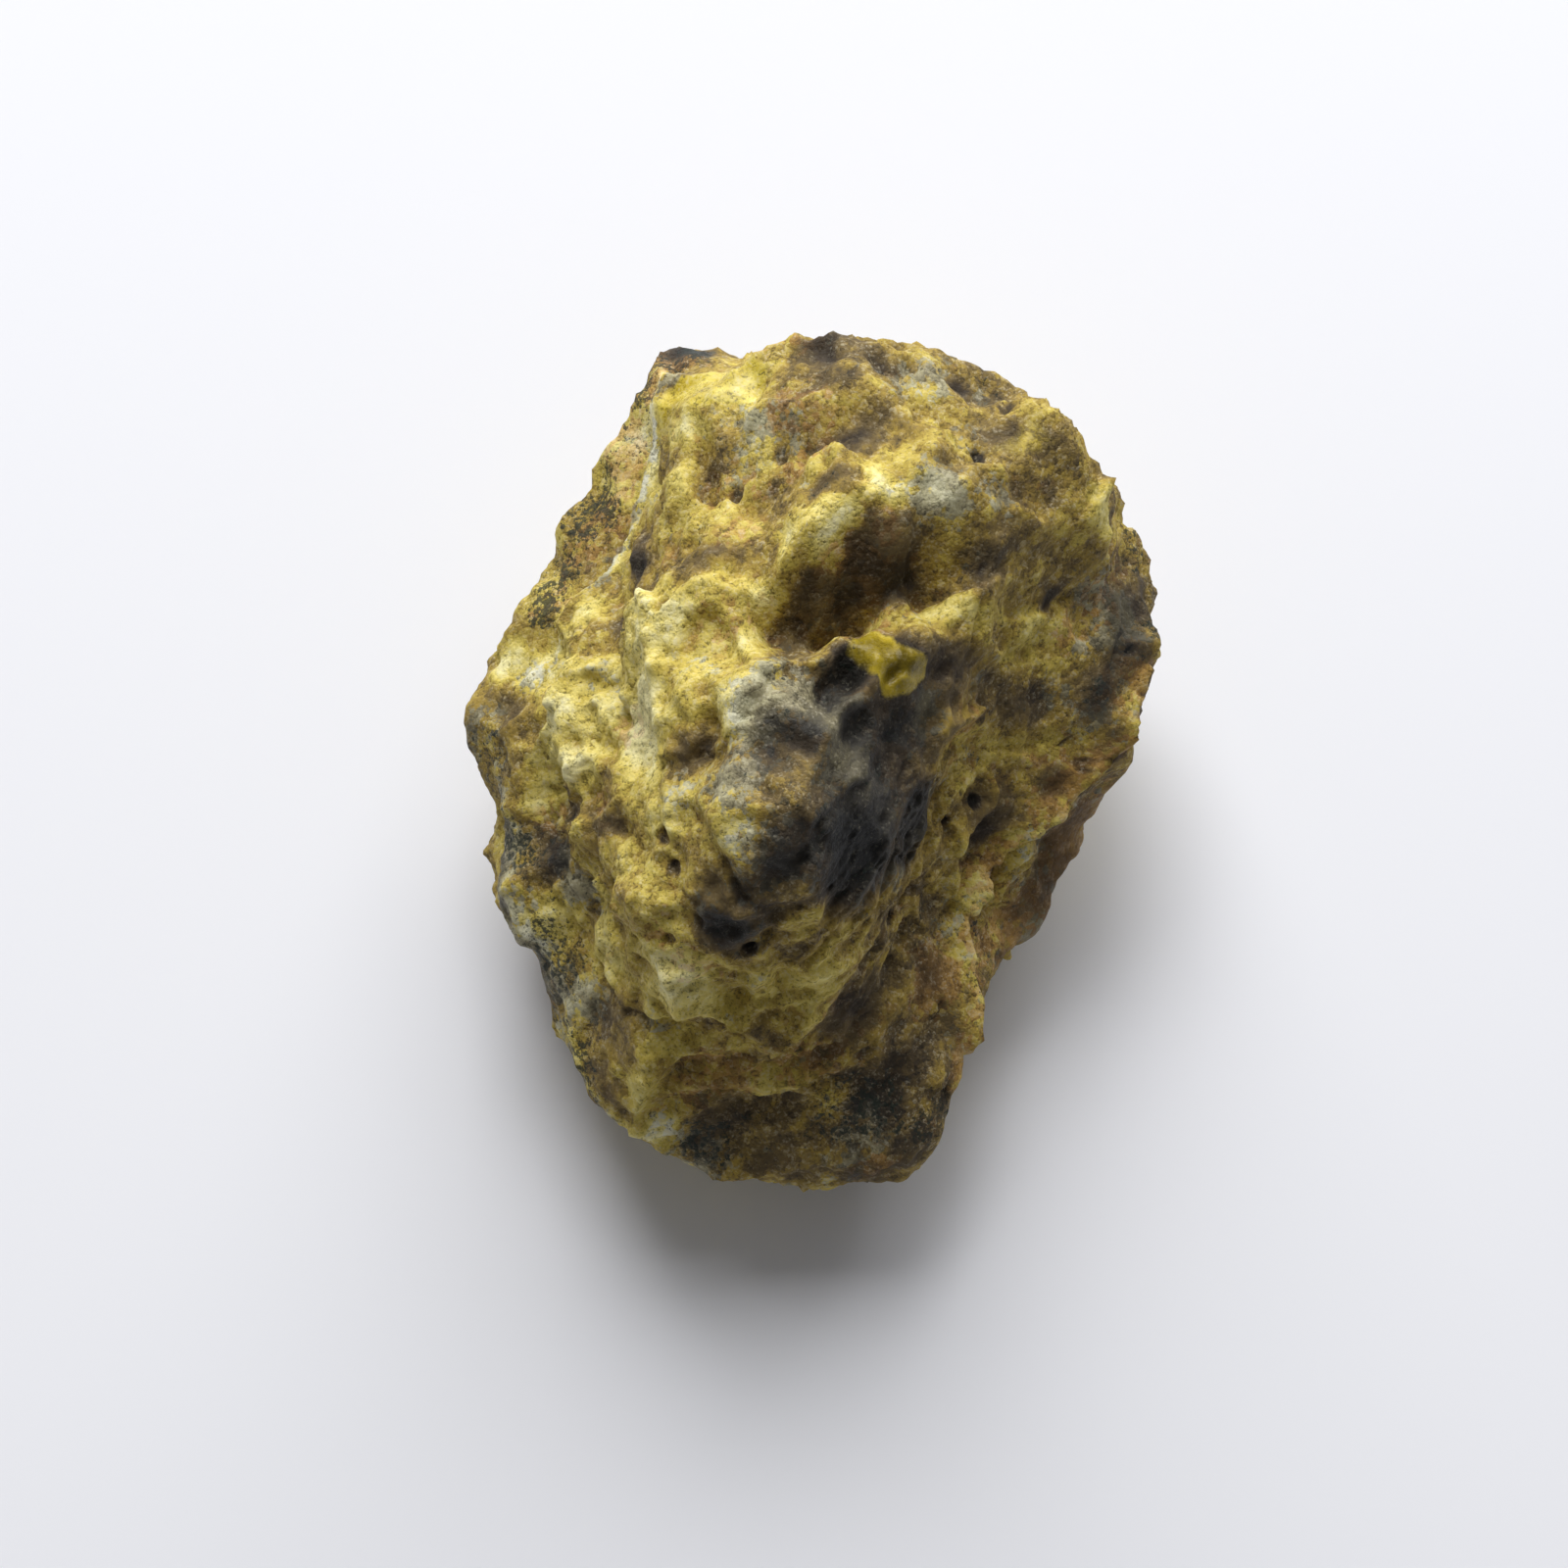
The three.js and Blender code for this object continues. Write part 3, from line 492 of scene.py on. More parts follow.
# Patches of colour as (x, y, z, radius, amount) in millimetres. In tone, less is darker. The other four
# say how much of the grey, the rusty or the glassy mineral there is, and how many dark flecks.
patches = {
    "tone": [
        # The dark cap on the crown, then dark spots and hollows. Many of the dark patches are partly
        # painted shade: in the cavity and other hollows, on the east and south flanks and on some rims.
        (5.5, -6, 24, 3, -0.45), (2.5, -9.5, 27, 3, -0.42), (1, -9, 31, 3.6, -0.34),
        (-4.5, -12, 29.5, 2.6, -0.38), (-5, -13.5, 27, 2, -0.42), (3.5, -3.5, 28.5, 3.4, -0.42),
        (-2, -4.5, 32.5, 2.4, -0.2), (1.5, 0, 30.5, 1.8, -0.28), (2.5, 5.6, 28, 2.6, -0.24),
        (0, 4.3, 29.5, 1.6, -0.2), (5, 6.4, 28.5, 1.6, -0.2), (-7, -3.5, 29, 1.4, -0.33),
        (-11.5, -6, 23.5, 1.3, -0.3), (0.9, 11.3, 31.5, 1.4, -0.42), (3.2, 9.3, 32, 1.3, -0.06),
        (5.2, 14.8, 30, 1.6, -0.24), (2.2, 13.6, 30, 1.3, -0.25), (-5.2, 8, 29, 1.4, -0.2),
        (-8, 2, 28, 1.5, -0.15), (-11, -3, 24, 1.3, -0.16), (10, 15, 28, 1.6, -0.16),
        (0.5, 18.3, 29, 1.6, -0.22), (19.5, 6, 16, 1.9, -0.32), (19.3, 3, 15, 1.9, -0.32),
        (19, 9, 17, 1.6, -0.2), (3, 14.3, 29.5, 1.2, -0.22), (7.6, 12.3, 30.5, 1.3, -0.22),
        (10.5, 17.5, 26, 1.5, -0.15), (-6.6, 7.6, 28, 1.3, -0.22), (7.4, 1, 27.5, 2.2, -0.22),
        (7.5, -1.9, 26, 1.8, -0.24), (18, 8.6, 18, 2, -0.28), (18, 5.2, 18, 2.2, -0.34),
        (17.5, 0.3, 16.5, 2.6, -0.32), (0.2, -3.6, 33, 1.4, -0.2), (-2.4, -9.8, 33, 1.5, -0.22),
        (-11.6, -19.4, 11.5, 1.9, -0.3), (8.2, -16, 11, 1.9, -0.32), (8, -19, 11, 1.5, -0.15),
        (-2, 19, 27, 1.4, -0.2), (17, 13.2, 24.5, 1.5, -0.18), (17, -1, 16, 1.8, -0.2),
        (-18.2, -4.5, 14.8, 1.8, -0.2), (-18, -7.5, 13.5, 1.7, -0.16), (-15.2, -5.7, 16.5, 1.3, -0.28),
        (-17, 1.5, 16, 1.1, -0.2), (-7.5, 15.5, 24, 0.9, -0.3), (-10, 9.5, 22, 1.1, -0.3),
        (-5, 15.5, 26.5, 1.6, -0.12), (0.4, 20.5, 27.5, 1.8, -0.3), (3, 18.5, 28, 1.3, -0.15),
        (3.2, 1.4, 30.5, 1.8, -0.4), (5, 0.8, 30, 1.6, -0.35), (8, 18, 26.5, 1.1, -0.4),
        (10.5, 9.5, 28, 2.3, -0.08), (9.5, 7, 27.5, 1.7, -0.25), (5, 8.5, 31, 1.7, -0.14),
        (13.5, 7.5, 22.5, 1.1, -0.45), (12, 1.5, 19.5, 2, -0.28), (16, 3, 18, 1.6, -0.4),
        (10, -3.5, 16, 2.6, -0.28), (14, -1.5, 16, 1.4, -0.35), (5.5, -22.5, 10.5, 1.7, -0.3),
        (9.5, 2.5, 24, 3.4, -0.26), (6.5, -13.5, 14, 1.6, -0.15), (1.5, -15.5, 17, 2, -0.25),
        (5.5, -17, 12.5, 2, -0.3), (3, -20, 12, 2, -0.22), (-1.5, -23, 10.5, 2, -0.12),
        (1, -18.5, 14.5, 5.1, -0.08), (-7, -19.5, 13, 3.4, -0.08), (-7.2, 24, 18.5, 1.7, -0.6),
        # The pale west shoulder, paler partly in its own colour and partly as painted light on that side,
        # then pale spots and edges.
        (-12.5, 2.5, 20.5, 2.8, 0.24), (-9.5, -1.5, 25.5, 2.6, 0.42), (-7, 4, 28, 3.6, 0.3),
        (-13.5, -3, 21.5, 2.3, 0.1), (-5, -1, 32, 1.7, 0.28), (-10, -8, 25, 4, 0.1),
        (-7.5, -15, 23.5, 3.2, 0.28), (-4.2, -8.6, 32, 1.3, 0.38), (-1.5, -0.5, 32.5, 1.8, 0.15),
        (1, 7.5, 30.9, 1.3, 0.46), (-0.5, 7.1, 30.6, 1.3, 0.4), (-2.4, 5.2, 29.5, 1.3, 0.3),
        (-1.8, -11.8, 30.5, 1.6, 0.15), (-13.2, -2.2, 21, 1.3, 0.12), (-11, 1, 23.3, 1.2, 0.12),
        (-8, 17, 24, 1.3, 0.1), (3.7, 10.9, 31.5, 1.3, 0.24), (6.8, 10.3, 30.8, 1.6, 0.25),
        (1.2, 2.7, 30, 1.2, 0.2), (-8.8, -1.5, 25.1, 1.6, 0.2), (-3.5, 5.5, 30, 2.6, 0.1),
        (2, 3.3, 29.4, 1.1, 0.15), (4.2, 4.5, 29, 1.2, 0.06), (6, 4.9, 28.6, 1.1, 0.1),
        (1.6, 8.9, 31.5, 1.2, 0.35), (-1.2, 8.4, 30.8, 1.3, 0.2), (6.2, 7.6, 29.5, 1.1, 0.14),
        (-19, 0.3, 14.2, 1.5, 0.12), (-7.3, -15, 24, 2, 0.12), (-12.6, -14.2, 13.2, 1.5, 0.12),
        (-11, 3.5, 22.5, 1.5, 0.22), (-8.5, -1, 28.5, 1.4, 0.16), (-13, -2.3, 21.5, 1.5, 0.27),
        (-8, -7, 29, 1.6, 0.16), (-15, -10, 14, 1.6, 0.18), (-11.3, -12.5, 18, 2, 0.15),
        (-8, -17.5, 17, 1.7, 0.2), (14, 10, 25, 1.8, 0.08), (17, 10.5, 22, 1.5, 0.13),
        (4, 18, 29, 1.2, 0.12), (-4.5, -6, 32, 1.6, 0.1), (-1.5, -5.5, 33, 1.6, 0.1),
        (16.5, 11.7, 24, 1.7, 0.5), (14.8, 10.9, 26, 1.8, 0.1), (12, 15, 28, 1.8, -0.1),
        (17.8, 13, 20, 1.4, 0.18), (12.8, 4.4, 23, 1.4, 0.15), (-7.5, 11, 24, 3.4, 0.1),
        (-11, 19, 17.5, 1.4, 0.25), (-17, 5, 15.5, 1.7, 0.22), (-19, 1, 14.5, 1.4, 0.1),
        (-14.5, -9.5, 15, 1.8, 0.25), (1, -19, 12.5, 1.8, 0.18), (2, -22.5, 9.5, 2.4, -0.12),
        (-0.2, 12.9, 31, 1, 0.15), (-9.5, 18, 20, 1.6, 0.32), (-7, 16.4, 25, 1.3, 0.2),
        (-9.5, 14, 21, 1.8, 0.22), (-11, 11, 19.5, 1.8, 0.32), (-11.5, 7, 20, 2, 0.28),
        (-15, 5, 17.5, 2, 0.25), (-18, 6, 15.2, 1.5, 0.35), (-4.4, 2.4, 29, 1.6, 0.22),
        (-14.7, 0.5, 20.5, 2.2, 0.32), (-12, 0.5, 23, 1.8, 0.22), (-9, 0.2, 27.5, 1.8, 0.18),
        (-15, -1.8, 18, 1.8, 0.42), (-15, -3.9, 16.5, 1.5, 0.35), (-4, -3.2, 32.3, 1.4, 0.32),
        (-6.2, -7.2, 31, 1.4, 0.2), (-12, -9.7, 18.5, 1.8, 0.22), (-12, -12.3, 16.5, 1.8, 0.28),
        (-9, -14.3, 23, 1.6, 0.15), (-9.2, -16.2, 18.5, 1.7, 0.25), (-4.6, -16.3, 21.5, 2.2, 0.18),
        (-0.9, -13, 28, 1.6, 0.15), (-6.5, -20.1, 13, 1.6, 0.14), (4.6, -10, 18, 1.4, 0.16),
    ],
    "cool": [
        (-1.5, -1, 32.5, 2.6, 0.8), (1.5, -2, 31.5, 2.3, 0.8), (5, -1.5, 27, 2, 0.7),
        (6.4, 10.3, 31, 2, 0.9), (-2, 15.6, 28, 2, 0.5), (3, 18.5, 28, 1.3, 0.6), (6, 18, 28, 1.5, 0.6),
        (1.5, -6, 31, 3.5, 0.5), (-2, -10, 32, 2.5, 0.5), (-4.5, -13, 28, 2.5, 0.4),
        (5.5, -8, 23, 2.2, 0.4), (-7.3, 23.8, 19, 1.5, 0.9), (17.5, 7, 18.5, 2.2, 0.5),
        (16, 2, 17.5, 2, 0.5), (12, 1, 20, 2, 0.3), (9, 3, 24.5, 2.5, 0.35), (10, 17.5, 26, 1.3, 0.6),
        (2.5, -9.5, 27, 3, 0.5), (3.5, -4, 28.5, 3, 0.4), (9.5, 11, 29.5, 1.4, 0.6),
        (7, 19.5, 27, 2, 0.6), (-4, 14.5, 27.5, 2.3, 0.5), (-7.5, -6.5, 29, 1.7, 0.6),
        (-5.5, -6.5, 32, 2, 0.6), (-13.5, -8.5, 17, 1.4, 0.7), (-15, -0.5, 19.5, 1.1, 0.5),
        (16, 8.5, 20.5, 1.7, 0.6), (15.5, 5.5, 19.5, 1.4, 0.5), (3.5, -7.5, 28.5, 2.8, 0.6),
        (5.5, -5, 23.5, 2.3, 0.8), (13.5, 2.5, 19, 1.4, 0.5), (-12.5, -14.5, 13.5, 1.7, 0.5),
        (3, -21, 11.5, 2.3, 0.4), (-15, -6, 17, 1.4, 0.6), (-7.5, 24, 17, 1.4, 0.5),
        (-4.2, -1.5, 32.5, 1.8, 0.6), (-3.2, -2.8, 32.3, 1.6, 0.4), (-4.9, 0.6, 30.5, 1.3, 0.4),
        (-3.7, -5.8, 32.8, 1.6, 0.3), (4.8, 13.5, 31, 1.7, 0.4), (8.2, 16.7, 28, 1.7, 0.35),
        (5, 16.6, 28.7, 1.5, 0.3), (-12, 10.4, 18.3, 1.7, 0.3), (-12, 6.7, 20.6, 1.7, 0.35),
        (-12, 2.7, 22, 1.6, 0.3), (2, -22.5, 9.5, 3, 0.4), (8.4, -5, 17.8, 2.2, 0.3),
        (8.5, -10, 13.4, 2.2, 0.3), (8.6, -15.6, 12.3, 2, 0.3), (-7, -14, 25, 2.6, -0.6),
        (11.6, 13.1, 28.8, 1.8, -0.5), (18.2, 11, 18.6, 1.6, -0.4),
    ],
    "rust": [
        (2.5, 5.5, 31.5, 2.8, 0.8), (6.5, -13, 14, 2, 0.8), (9.5, -10, 11, 1.7, 0.7),
        (9, -7, 13.5, 1.7, 0.6), (-11.5, -5, 22, 1.1, 0.6), (-7.5, 20.5, 21, 0.8, 0.8),
        (-0.5, 21.5, 26.5, 1.7, 0.6), (-2.5, 16, 28.5, 1.4, 0.5), (14.5, 5.5, 20.5, 1.4, 0.7),
        (15.5, -3.5, 11, 2.3, 0.4), (12.5, -8, 9, 2.3, 0.4), (0, -17, 16.5, 2.8, 0.5),
        (-5.5, -19, 14.5, 2.8, 0.5), (2, 7.5, 31, 1.1, 0.7), (3, -23, 10, 1.7, 0.6),
        (-1, 12.5, 29, 1, 0.5), (-4.2, -8.6, 32, 1.2, 0.5), (9, -1, 21, 3, 0.35),
        (13, -1, 17, 2.5, 0.35), (16.5, 8, 20, 2, 0.4), (17.5, 3, 18, 2, 0.4), (-0.2, 12.6, 30, 1, 0.5),
        (3.7, 10.9, 31.5, 1.2, 0.4), (-10.5, -1, 24, 1.6, 0.4), (-8, -12.5, 26.5, 1.8, 0.4),
        (-8.5, 9.5, 25, 2, 0.35), (-4.5, 9.5, 28.5, 1.8, 0.35), (-7, -14.5, 24.5, 2.4, 0.5),
        (4, 8.6, 31, 1.2, 0.5), (18.2, 11, 18.6, 1.6, 0.2),
    ],
    "glass": [
        (-5.2, 19.4, 24.5, 2.4, 2.4), (-7.6, 19, 22.4, 2.1, 2.4), (-3.4, 19.3, 26, 1.3, 1.8),
        (3.2, 1.5, 30.5, 1.7, 1.5), (5, 0.7, 30, 1.7, 1.4), (12, 14.3, 28.4, 2.4, 0.8),
    ],
    "fleck": [
        (-7.3, 23.8, 19.5, 1.8, 0.9), (-9.5, 21, 19.5, 1.5, 0.35), (-13.5, 14, 18, 2.2, 0.4),
        (-15.5, 9.5, 17.5, 2.2, 0.35), (-18.5, 0, 15.5, 2, 0.2), (-16.5, -5.5, 14.5, 2.2, 0.35),
        (-14.5, -11.5, 13, 2.2, 0.4), (-12, -17, 11, 2.2, 0.4), (-5, -21.5, 10.5, 2.4, 0.2),
        (2, -20, 12, 2.6, 0.3), (6.5, -21, 10, 1.8, 0.4), (19.5, 7, 16, 2, 0.35), (19, 12, 18, 2, 0.3),
        (17, 3, 18, 2, 0.3), (1.5, -9, 30, 4, 0.2),
    ],
}

northWestStrip = [(-8, 23.5, 19.5), (-11, 19, 19), (-14, 14, 18), (-17.2, 9, 17)]
westBand = [
    (-19.5, 1.5, 14.5), (-18.8, -4, 13.5), (-17.5, -9, 12), (-15, -14, 10.5), (-11.5, -19.5, 9.5),
    (-7, -22.5, 9.5),
]

# Bands of the same along the rims as (half width, amount, line).
bands = {
    "tone": [
        (0.5, 0.3, westLine), (1.8, 0.08, northWestStrip), (1.5, -0.06, westBand),
        (0.45, 0.22, southWestLine), (0.6, 0.14, southEastLine), (2, 0.04, southEastFlank),
        # The cavity's band is darker partly for its own brown colour and partly as painted shade.
        (1.1, -0.16, cavityLine), (0.55, 0.15, crestLine),
    ],
    "cool": [(0.7, 0.5, westLine), (1.8, 0.6, westBand), (2, 0.35, southEastFlank)],
    "rust": [(1.6, 0.5, northWestStrip), (0.9, 0.6, southEastLine), (2.2, 0.3, southEastFlank)],
    "fleck": [(1.6, 0.25, northWestStrip), (1.5, 0.2, westBand)],
}

# What the stone has by chance all over: level, height and size of its swells, and seed.
chance = {
    "tone": (0.5, 0.3, 5.5, 111),
    "cool": (-0.02, 0.5, 4.5, 121),
    "rust": (0.2, 0.5, 4.0, 141),
    "glass": (-0.4, 0.6, 4.0, 151),
    "fleck": (0.1, 0.3, 5, 191),
}

# How the patches and bands spread: how far noise pushes them, the noise's size, and how suddenly each
# kind ends.
spread = {"push": 1.1, "pushSize": 2.6, "patchEnd": 3, "bandEnd": 4}


# Chance swells, plus every patch, which fades from its middle as exp(-distance^3), plus every band, which
# fades from its line as exp(-distance^4). Both distances are in the mark's own radius or half width. The
# places are first pushed about by noise, so that no patch comes out round.
def mineralShare(point, name):
    level, height, size, seed = chance[name]
    total = level + height * roughness(point / size, seed, 3)
    push = [roughness(point / spread["pushSize"], seed + n, 3) for n in (5, 6, 7)]
    pushed = point + spread["push"] * np.stack(push, axis=1)
    for x, y, z, radius, amount in patches[name]:
        distance = np.linalg.norm(pushed - np.array([x, y, z]), axis=1) / radius
        total = total + amount * np.exp(-(distance ** spread["patchEnd"]))
    for width, amount, line in bands.get(name, []):
        distance = gapToLine(unit(pushed - centre), line) / width
        total = total + amount * np.exp(-(distance ** spread["bandEnd"]))
    return total


# Six square grids of two angles each, one for each face of a cube, blown up onto a ball. Points that two
# or three grids share are merged, so there is no seam.
def cubeBallGrid(steps):
    t = np.tan(np.linspace(-1, 1, steps + 1) * np.pi / 4)
    a, b = np.meshgrid(t, t, indexing="ij")
    one = np.ones_like(a)
    sides = [(one, a, b), (-one, b, a), (b, one, a), (a, -one, b), (a, b, one), (b, a, -one)]
    points = unit(np.concatenate([np.stack([part.ravel() for part in side], axis=1) for side in sides]))
    index = np.arange((steps + 1) ** 2).reshape(steps + 1, steps + 1)
    square = np.stack([index[:-1, :-1], index[1:, :-1], index[1:, 1:], index[:-1, 1:]], axis=-1)
    squares = np.concatenate([square.reshape(-1, 4) + side * (steps + 1) ** 2 for side in range(6)])
    _, first, inverse = np.unique(np.round(points, 6), axis=0, return_index=True, return_inverse=True)
    return points[first], inverse.reshape(-1)[squares]


leastFall = 0.05  # a direction that falls less than this never meets the ground
# The hollow share where the surface is even. It loses as much again for each millimetre of relief.
evenHollow = 0.45


# The whole surface: one radius for each direction out of the centre, cut off flat at the ground.
def stoneSurface(direction):
    place = direction / form["wanderLength"]
    wander = np.stack([roughness(place, seed, 3) for seed in form["wanderSeeds"]], axis=1)
    radius = chippedRadius(unit(direction + form["wanderAmount"] * wander))
    point = centre + direction * radius[:, None]
    radius = radius + singleMarkHeight(point)
    coarse = coarseRelief(point, direction) + longMarkHeight(direction)
    skin = centre + direction * (radius + coarse)[:, None]
    shares = {name: mineralShare(skin, name) for name in patches}
    smoothFaces = np.maximum(ramp(shares["glass"], *relief["glassyFace"]), calmness(direction))
    fine, pits = fineRelief(skin, smoothFaces)
    radius = radius + coarse + fine
    falling = direction[:, 2] < -leastFall
    ground = np.where(falling, -centre[2] / np.minimum(direction[:, 2], -leastFall), np.inf)
    shares["calm"] = calmness(direction)
    # High where the surface lies low: the material paints shade into these hollows and lets rust gather
    # there.
    shares["hollow"] = evenHollow - evenHollow * (coarse + fine)
    shares["pit"] = pits
    return centre + direction * np.minimum(radius, ground)[:, None], shares


# Adds an object to the scene, at its place and turn where they are given.
def addObject(name, data, place=(0, 0, 0), turn=None):
    item = bpy.data.objects.new(name, data)
    item.location = place
    if turn is not None:
        item.rotation_mode = "QUATERNION"
        item.rotation_quaternion = turn
    bpy.context.scene.collection.objects.link(item)
    return item


def makeMesh(name, points, faces, shares):
    mesh = bpy.data.meshes.new(name)
    mesh.from_pydata((points * millimetre).tolist(), [], faces.tolist())
    mesh.shade_smooth()
    for share, values in shares.items():
        attribute = mesh.attributes.new(share, "FLOAT", "POINT")
        attribute.data.foreach_set("value", values.astype(np.float32))
    return addObject(name, mesh)


directions, squares = cubeBallGrid(form["gridSteps"])
points, shares = stoneSurface(directions)
first, second, third = (directions[squares[:, corner]] for corner in range(3))
inward = np.sum(np.cross(second - first, third - first) * first, axis=1) < 0
squares[inward] = squares[inward][:, ::-1]
# The solid's box gives the seat, so that the fine stone stands where the solid does.
boxMiddle = (np.array(cadBox[0]) + np.array(cadBox[1])) / 2 / millimetre
seat = np.array([*(boxMiddle - (points.min(axis=0) + points.max(axis=0)) / 2)[:2], 0])
stone = makeMesh("roughTourmaline", points + seat, squares, shares)
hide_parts("rough_tourmaline")
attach(stone, "root")
print("stone", len(points), "points, seat", seat.round(2))

# Materials


# A colour written as a screen colour, turned into the linear values that the nodes take by the sRGB curve.
def paint(code):
    channels = [int(code[i:i + 2], 16) / 255 for i in (1, 3, 5)]
    return (*[c / 12.92 if c <= 0.04045 else ((c + 0.055) / 1.055) ** 2.4 for c in channels], 1)


# Adds a node and fills its inputs: a socket is linked, anything else is set as a value.
def addNode(tree, kind, inputs=None, **settings):
    node = tree.nodes.new(kind)
    for name, value in settings.items():
        setattr(node, name, value)
    for name, value in (inputs or {}).items():
        if isinstance(value, bpy.types.NodeSocket):
            tree.links.new(value, node.inputs[name])
        else:
            node.inputs[name].default_value = value
    return node


def mathNode(tree, operation, a, b=0.0, clamp=False):
    return addNode(tree, "ShaderNodeMath", {0: a, 1: b}, operation=operation, use_clamp=clamp).outputs[0]


# A smooth S from toLow at low to toHigh at high.
def rangeNode(tree, value, low, high, toLow=0.0, toHigh=1.0):
    inputs = {"Value": value, "From Min": low, "From Max": high, "To Min": toLow, "To Max": toHigh}
    return addNode(tree, "ShaderNodeMapRange", inputs, interpolation_type="SMOOTHSTEP").outputs["Result"]


# The Mix node has a set of sockets for each kind of data: 6 and 7 take the colours and 2 gives theirs.
def mixNode(tree, share, first, second):
    return addNode(tree, "ShaderNodeMix", {0: share, 6: first, 7: second}, data_type="RGBA").outputs[2]


def noiseNode(tree, place, size, detail=3.0, rough=0.55, warp=0.0):
    inputs = {"Vector": place, "Scale": 1 / size, "Detail": detail, "Roughness": rough, "Distortion": warp}
    return addNode(tree, "ShaderNodeTexNoise", inputs).outputs["Fac"]


# One of the shares that are kept at the mesh's points.
def shareNode(tree, name):
    node = addNode(tree, "ShaderNodeAttribute", attribute_name=name, attribute_type="GEOMETRY")
    return node.outputs["Fac"]


# Object coordinates in millimetres.
def placeNode(tree):
    inputs = {0: addNode(tree, "ShaderNodeTexCoord").outputs["Object"], 3: 1 / millimetre}
    return addNode(tree, "ShaderNodeVectorMath", inputs, operation="SCALE").outputs[0]


# Every mineral as a scale from its darkest to its palest tone.
scales = {
    "ochre": [
        (0, "#1d1a15"), (0.2, "#41372a"), (0.38, "#705e38"), (0.52, "#a0873c"), (0.68, "#c8b352"),
        (0.84, "#e0cf75"), (1, "#eee4a6"),
    ],
    "cool": [
        (0, "#171818"), (0.2, "#363530"), (0.4, "#62604f"), (0.6, "#979580"), (0.8, "#c0c0ab"),
        (1, "#e4e4d4"),
    ],
    "rust": [
        (0, "#1c160e"), (0.2, "#3f301b"), (0.4, "#735630"), (0.6, "#ad8446"), (0.8, "#d4b06c"),
        (1, "#ebd5a4"),
    ],
    "glass": [(0, "#3d330a"), (0.3, "#7d6c18"), (0.6, "#b9a22e"), (0.85, "#dccb62"), (1, "#efe48e")],
}


def scaleNode(tree, tone, name):
    node = addNode(tree, "ShaderNodeValToRGB", {"Fac": tone})
    stops = node.color_ramp.elements
    while len(stops) < len(scales[name]):
        stops.new(0.5)
    for stop, (place, code) in zip(stops, scales[name]):
        stop.position = place
        stop.color = paint(code)
    return node.outputs["Color"]


# Size of the noise that bends the grains, against the grains' own, with its detail and roughness.
grainBend = {"Scale": 1.4, "Detail": 3.0, "Roughness": 0.6}


# Crystal grains of one size: three chance numbers for each grain, and the depth, which grows from the
# grain's middle to its border. Noise bends the grains out of their plain cells.
def makeGrainGroup():
    group = bpy.data.node_groups.new("crystalGrain", "ShaderNodeTree")

    def vector(operation, inputs):
        return addNode(group, "ShaderNodeVectorMath", inputs, operation=operation).outputs[0]

    group.interface.new_socket("Place", in_out="INPUT", socket_type="NodeSocketVector")
    group.interface.new_socket("Size", in_out="INPUT", socket_type="NodeSocketFloat")
    group.interface.new_socket("Bend", in_out="INPUT", socket_type="NodeSocketFloat")
    chances = ("First", "Second", "Third")
    for name in (*chances, "Depth"):
        group.interface.new_socket(name, in_out="OUTPUT", socket_type="NodeSocketFloat")
    start = addNode(group, "NodeGroupInput").outputs
    place = vector("SCALE", {0: start["Place"], 3: mathNode(group, "DIVIDE", 1.0, start["Size"])})
    noise = addNode(group, "ShaderNodeTexNoise", {"Vector": place, **grainBend})
    middle = vector("SUBTRACT", {0: noise.outputs["Color"], 1: (0.5, 0.5, 0.5)})
    bent = vector("ADD", {0: place, 1: vector("SCALE", {0: middle, 3: start["Bend"]})})
    cells = addNode(group, "ShaderNodeTexVoronoi", {"Vector": bent, "Scale": 1.0, "Randomness": 1.0})
    numbers = addNode(group, "ShaderNodeSeparateColor", {"Color": cells.outputs["Color"]}).outputs
    addNode(group, "NodeGroupOutput", {**dict(zip(chances, numbers)), "Depth": cells.outputs["Distance"]})
    return group


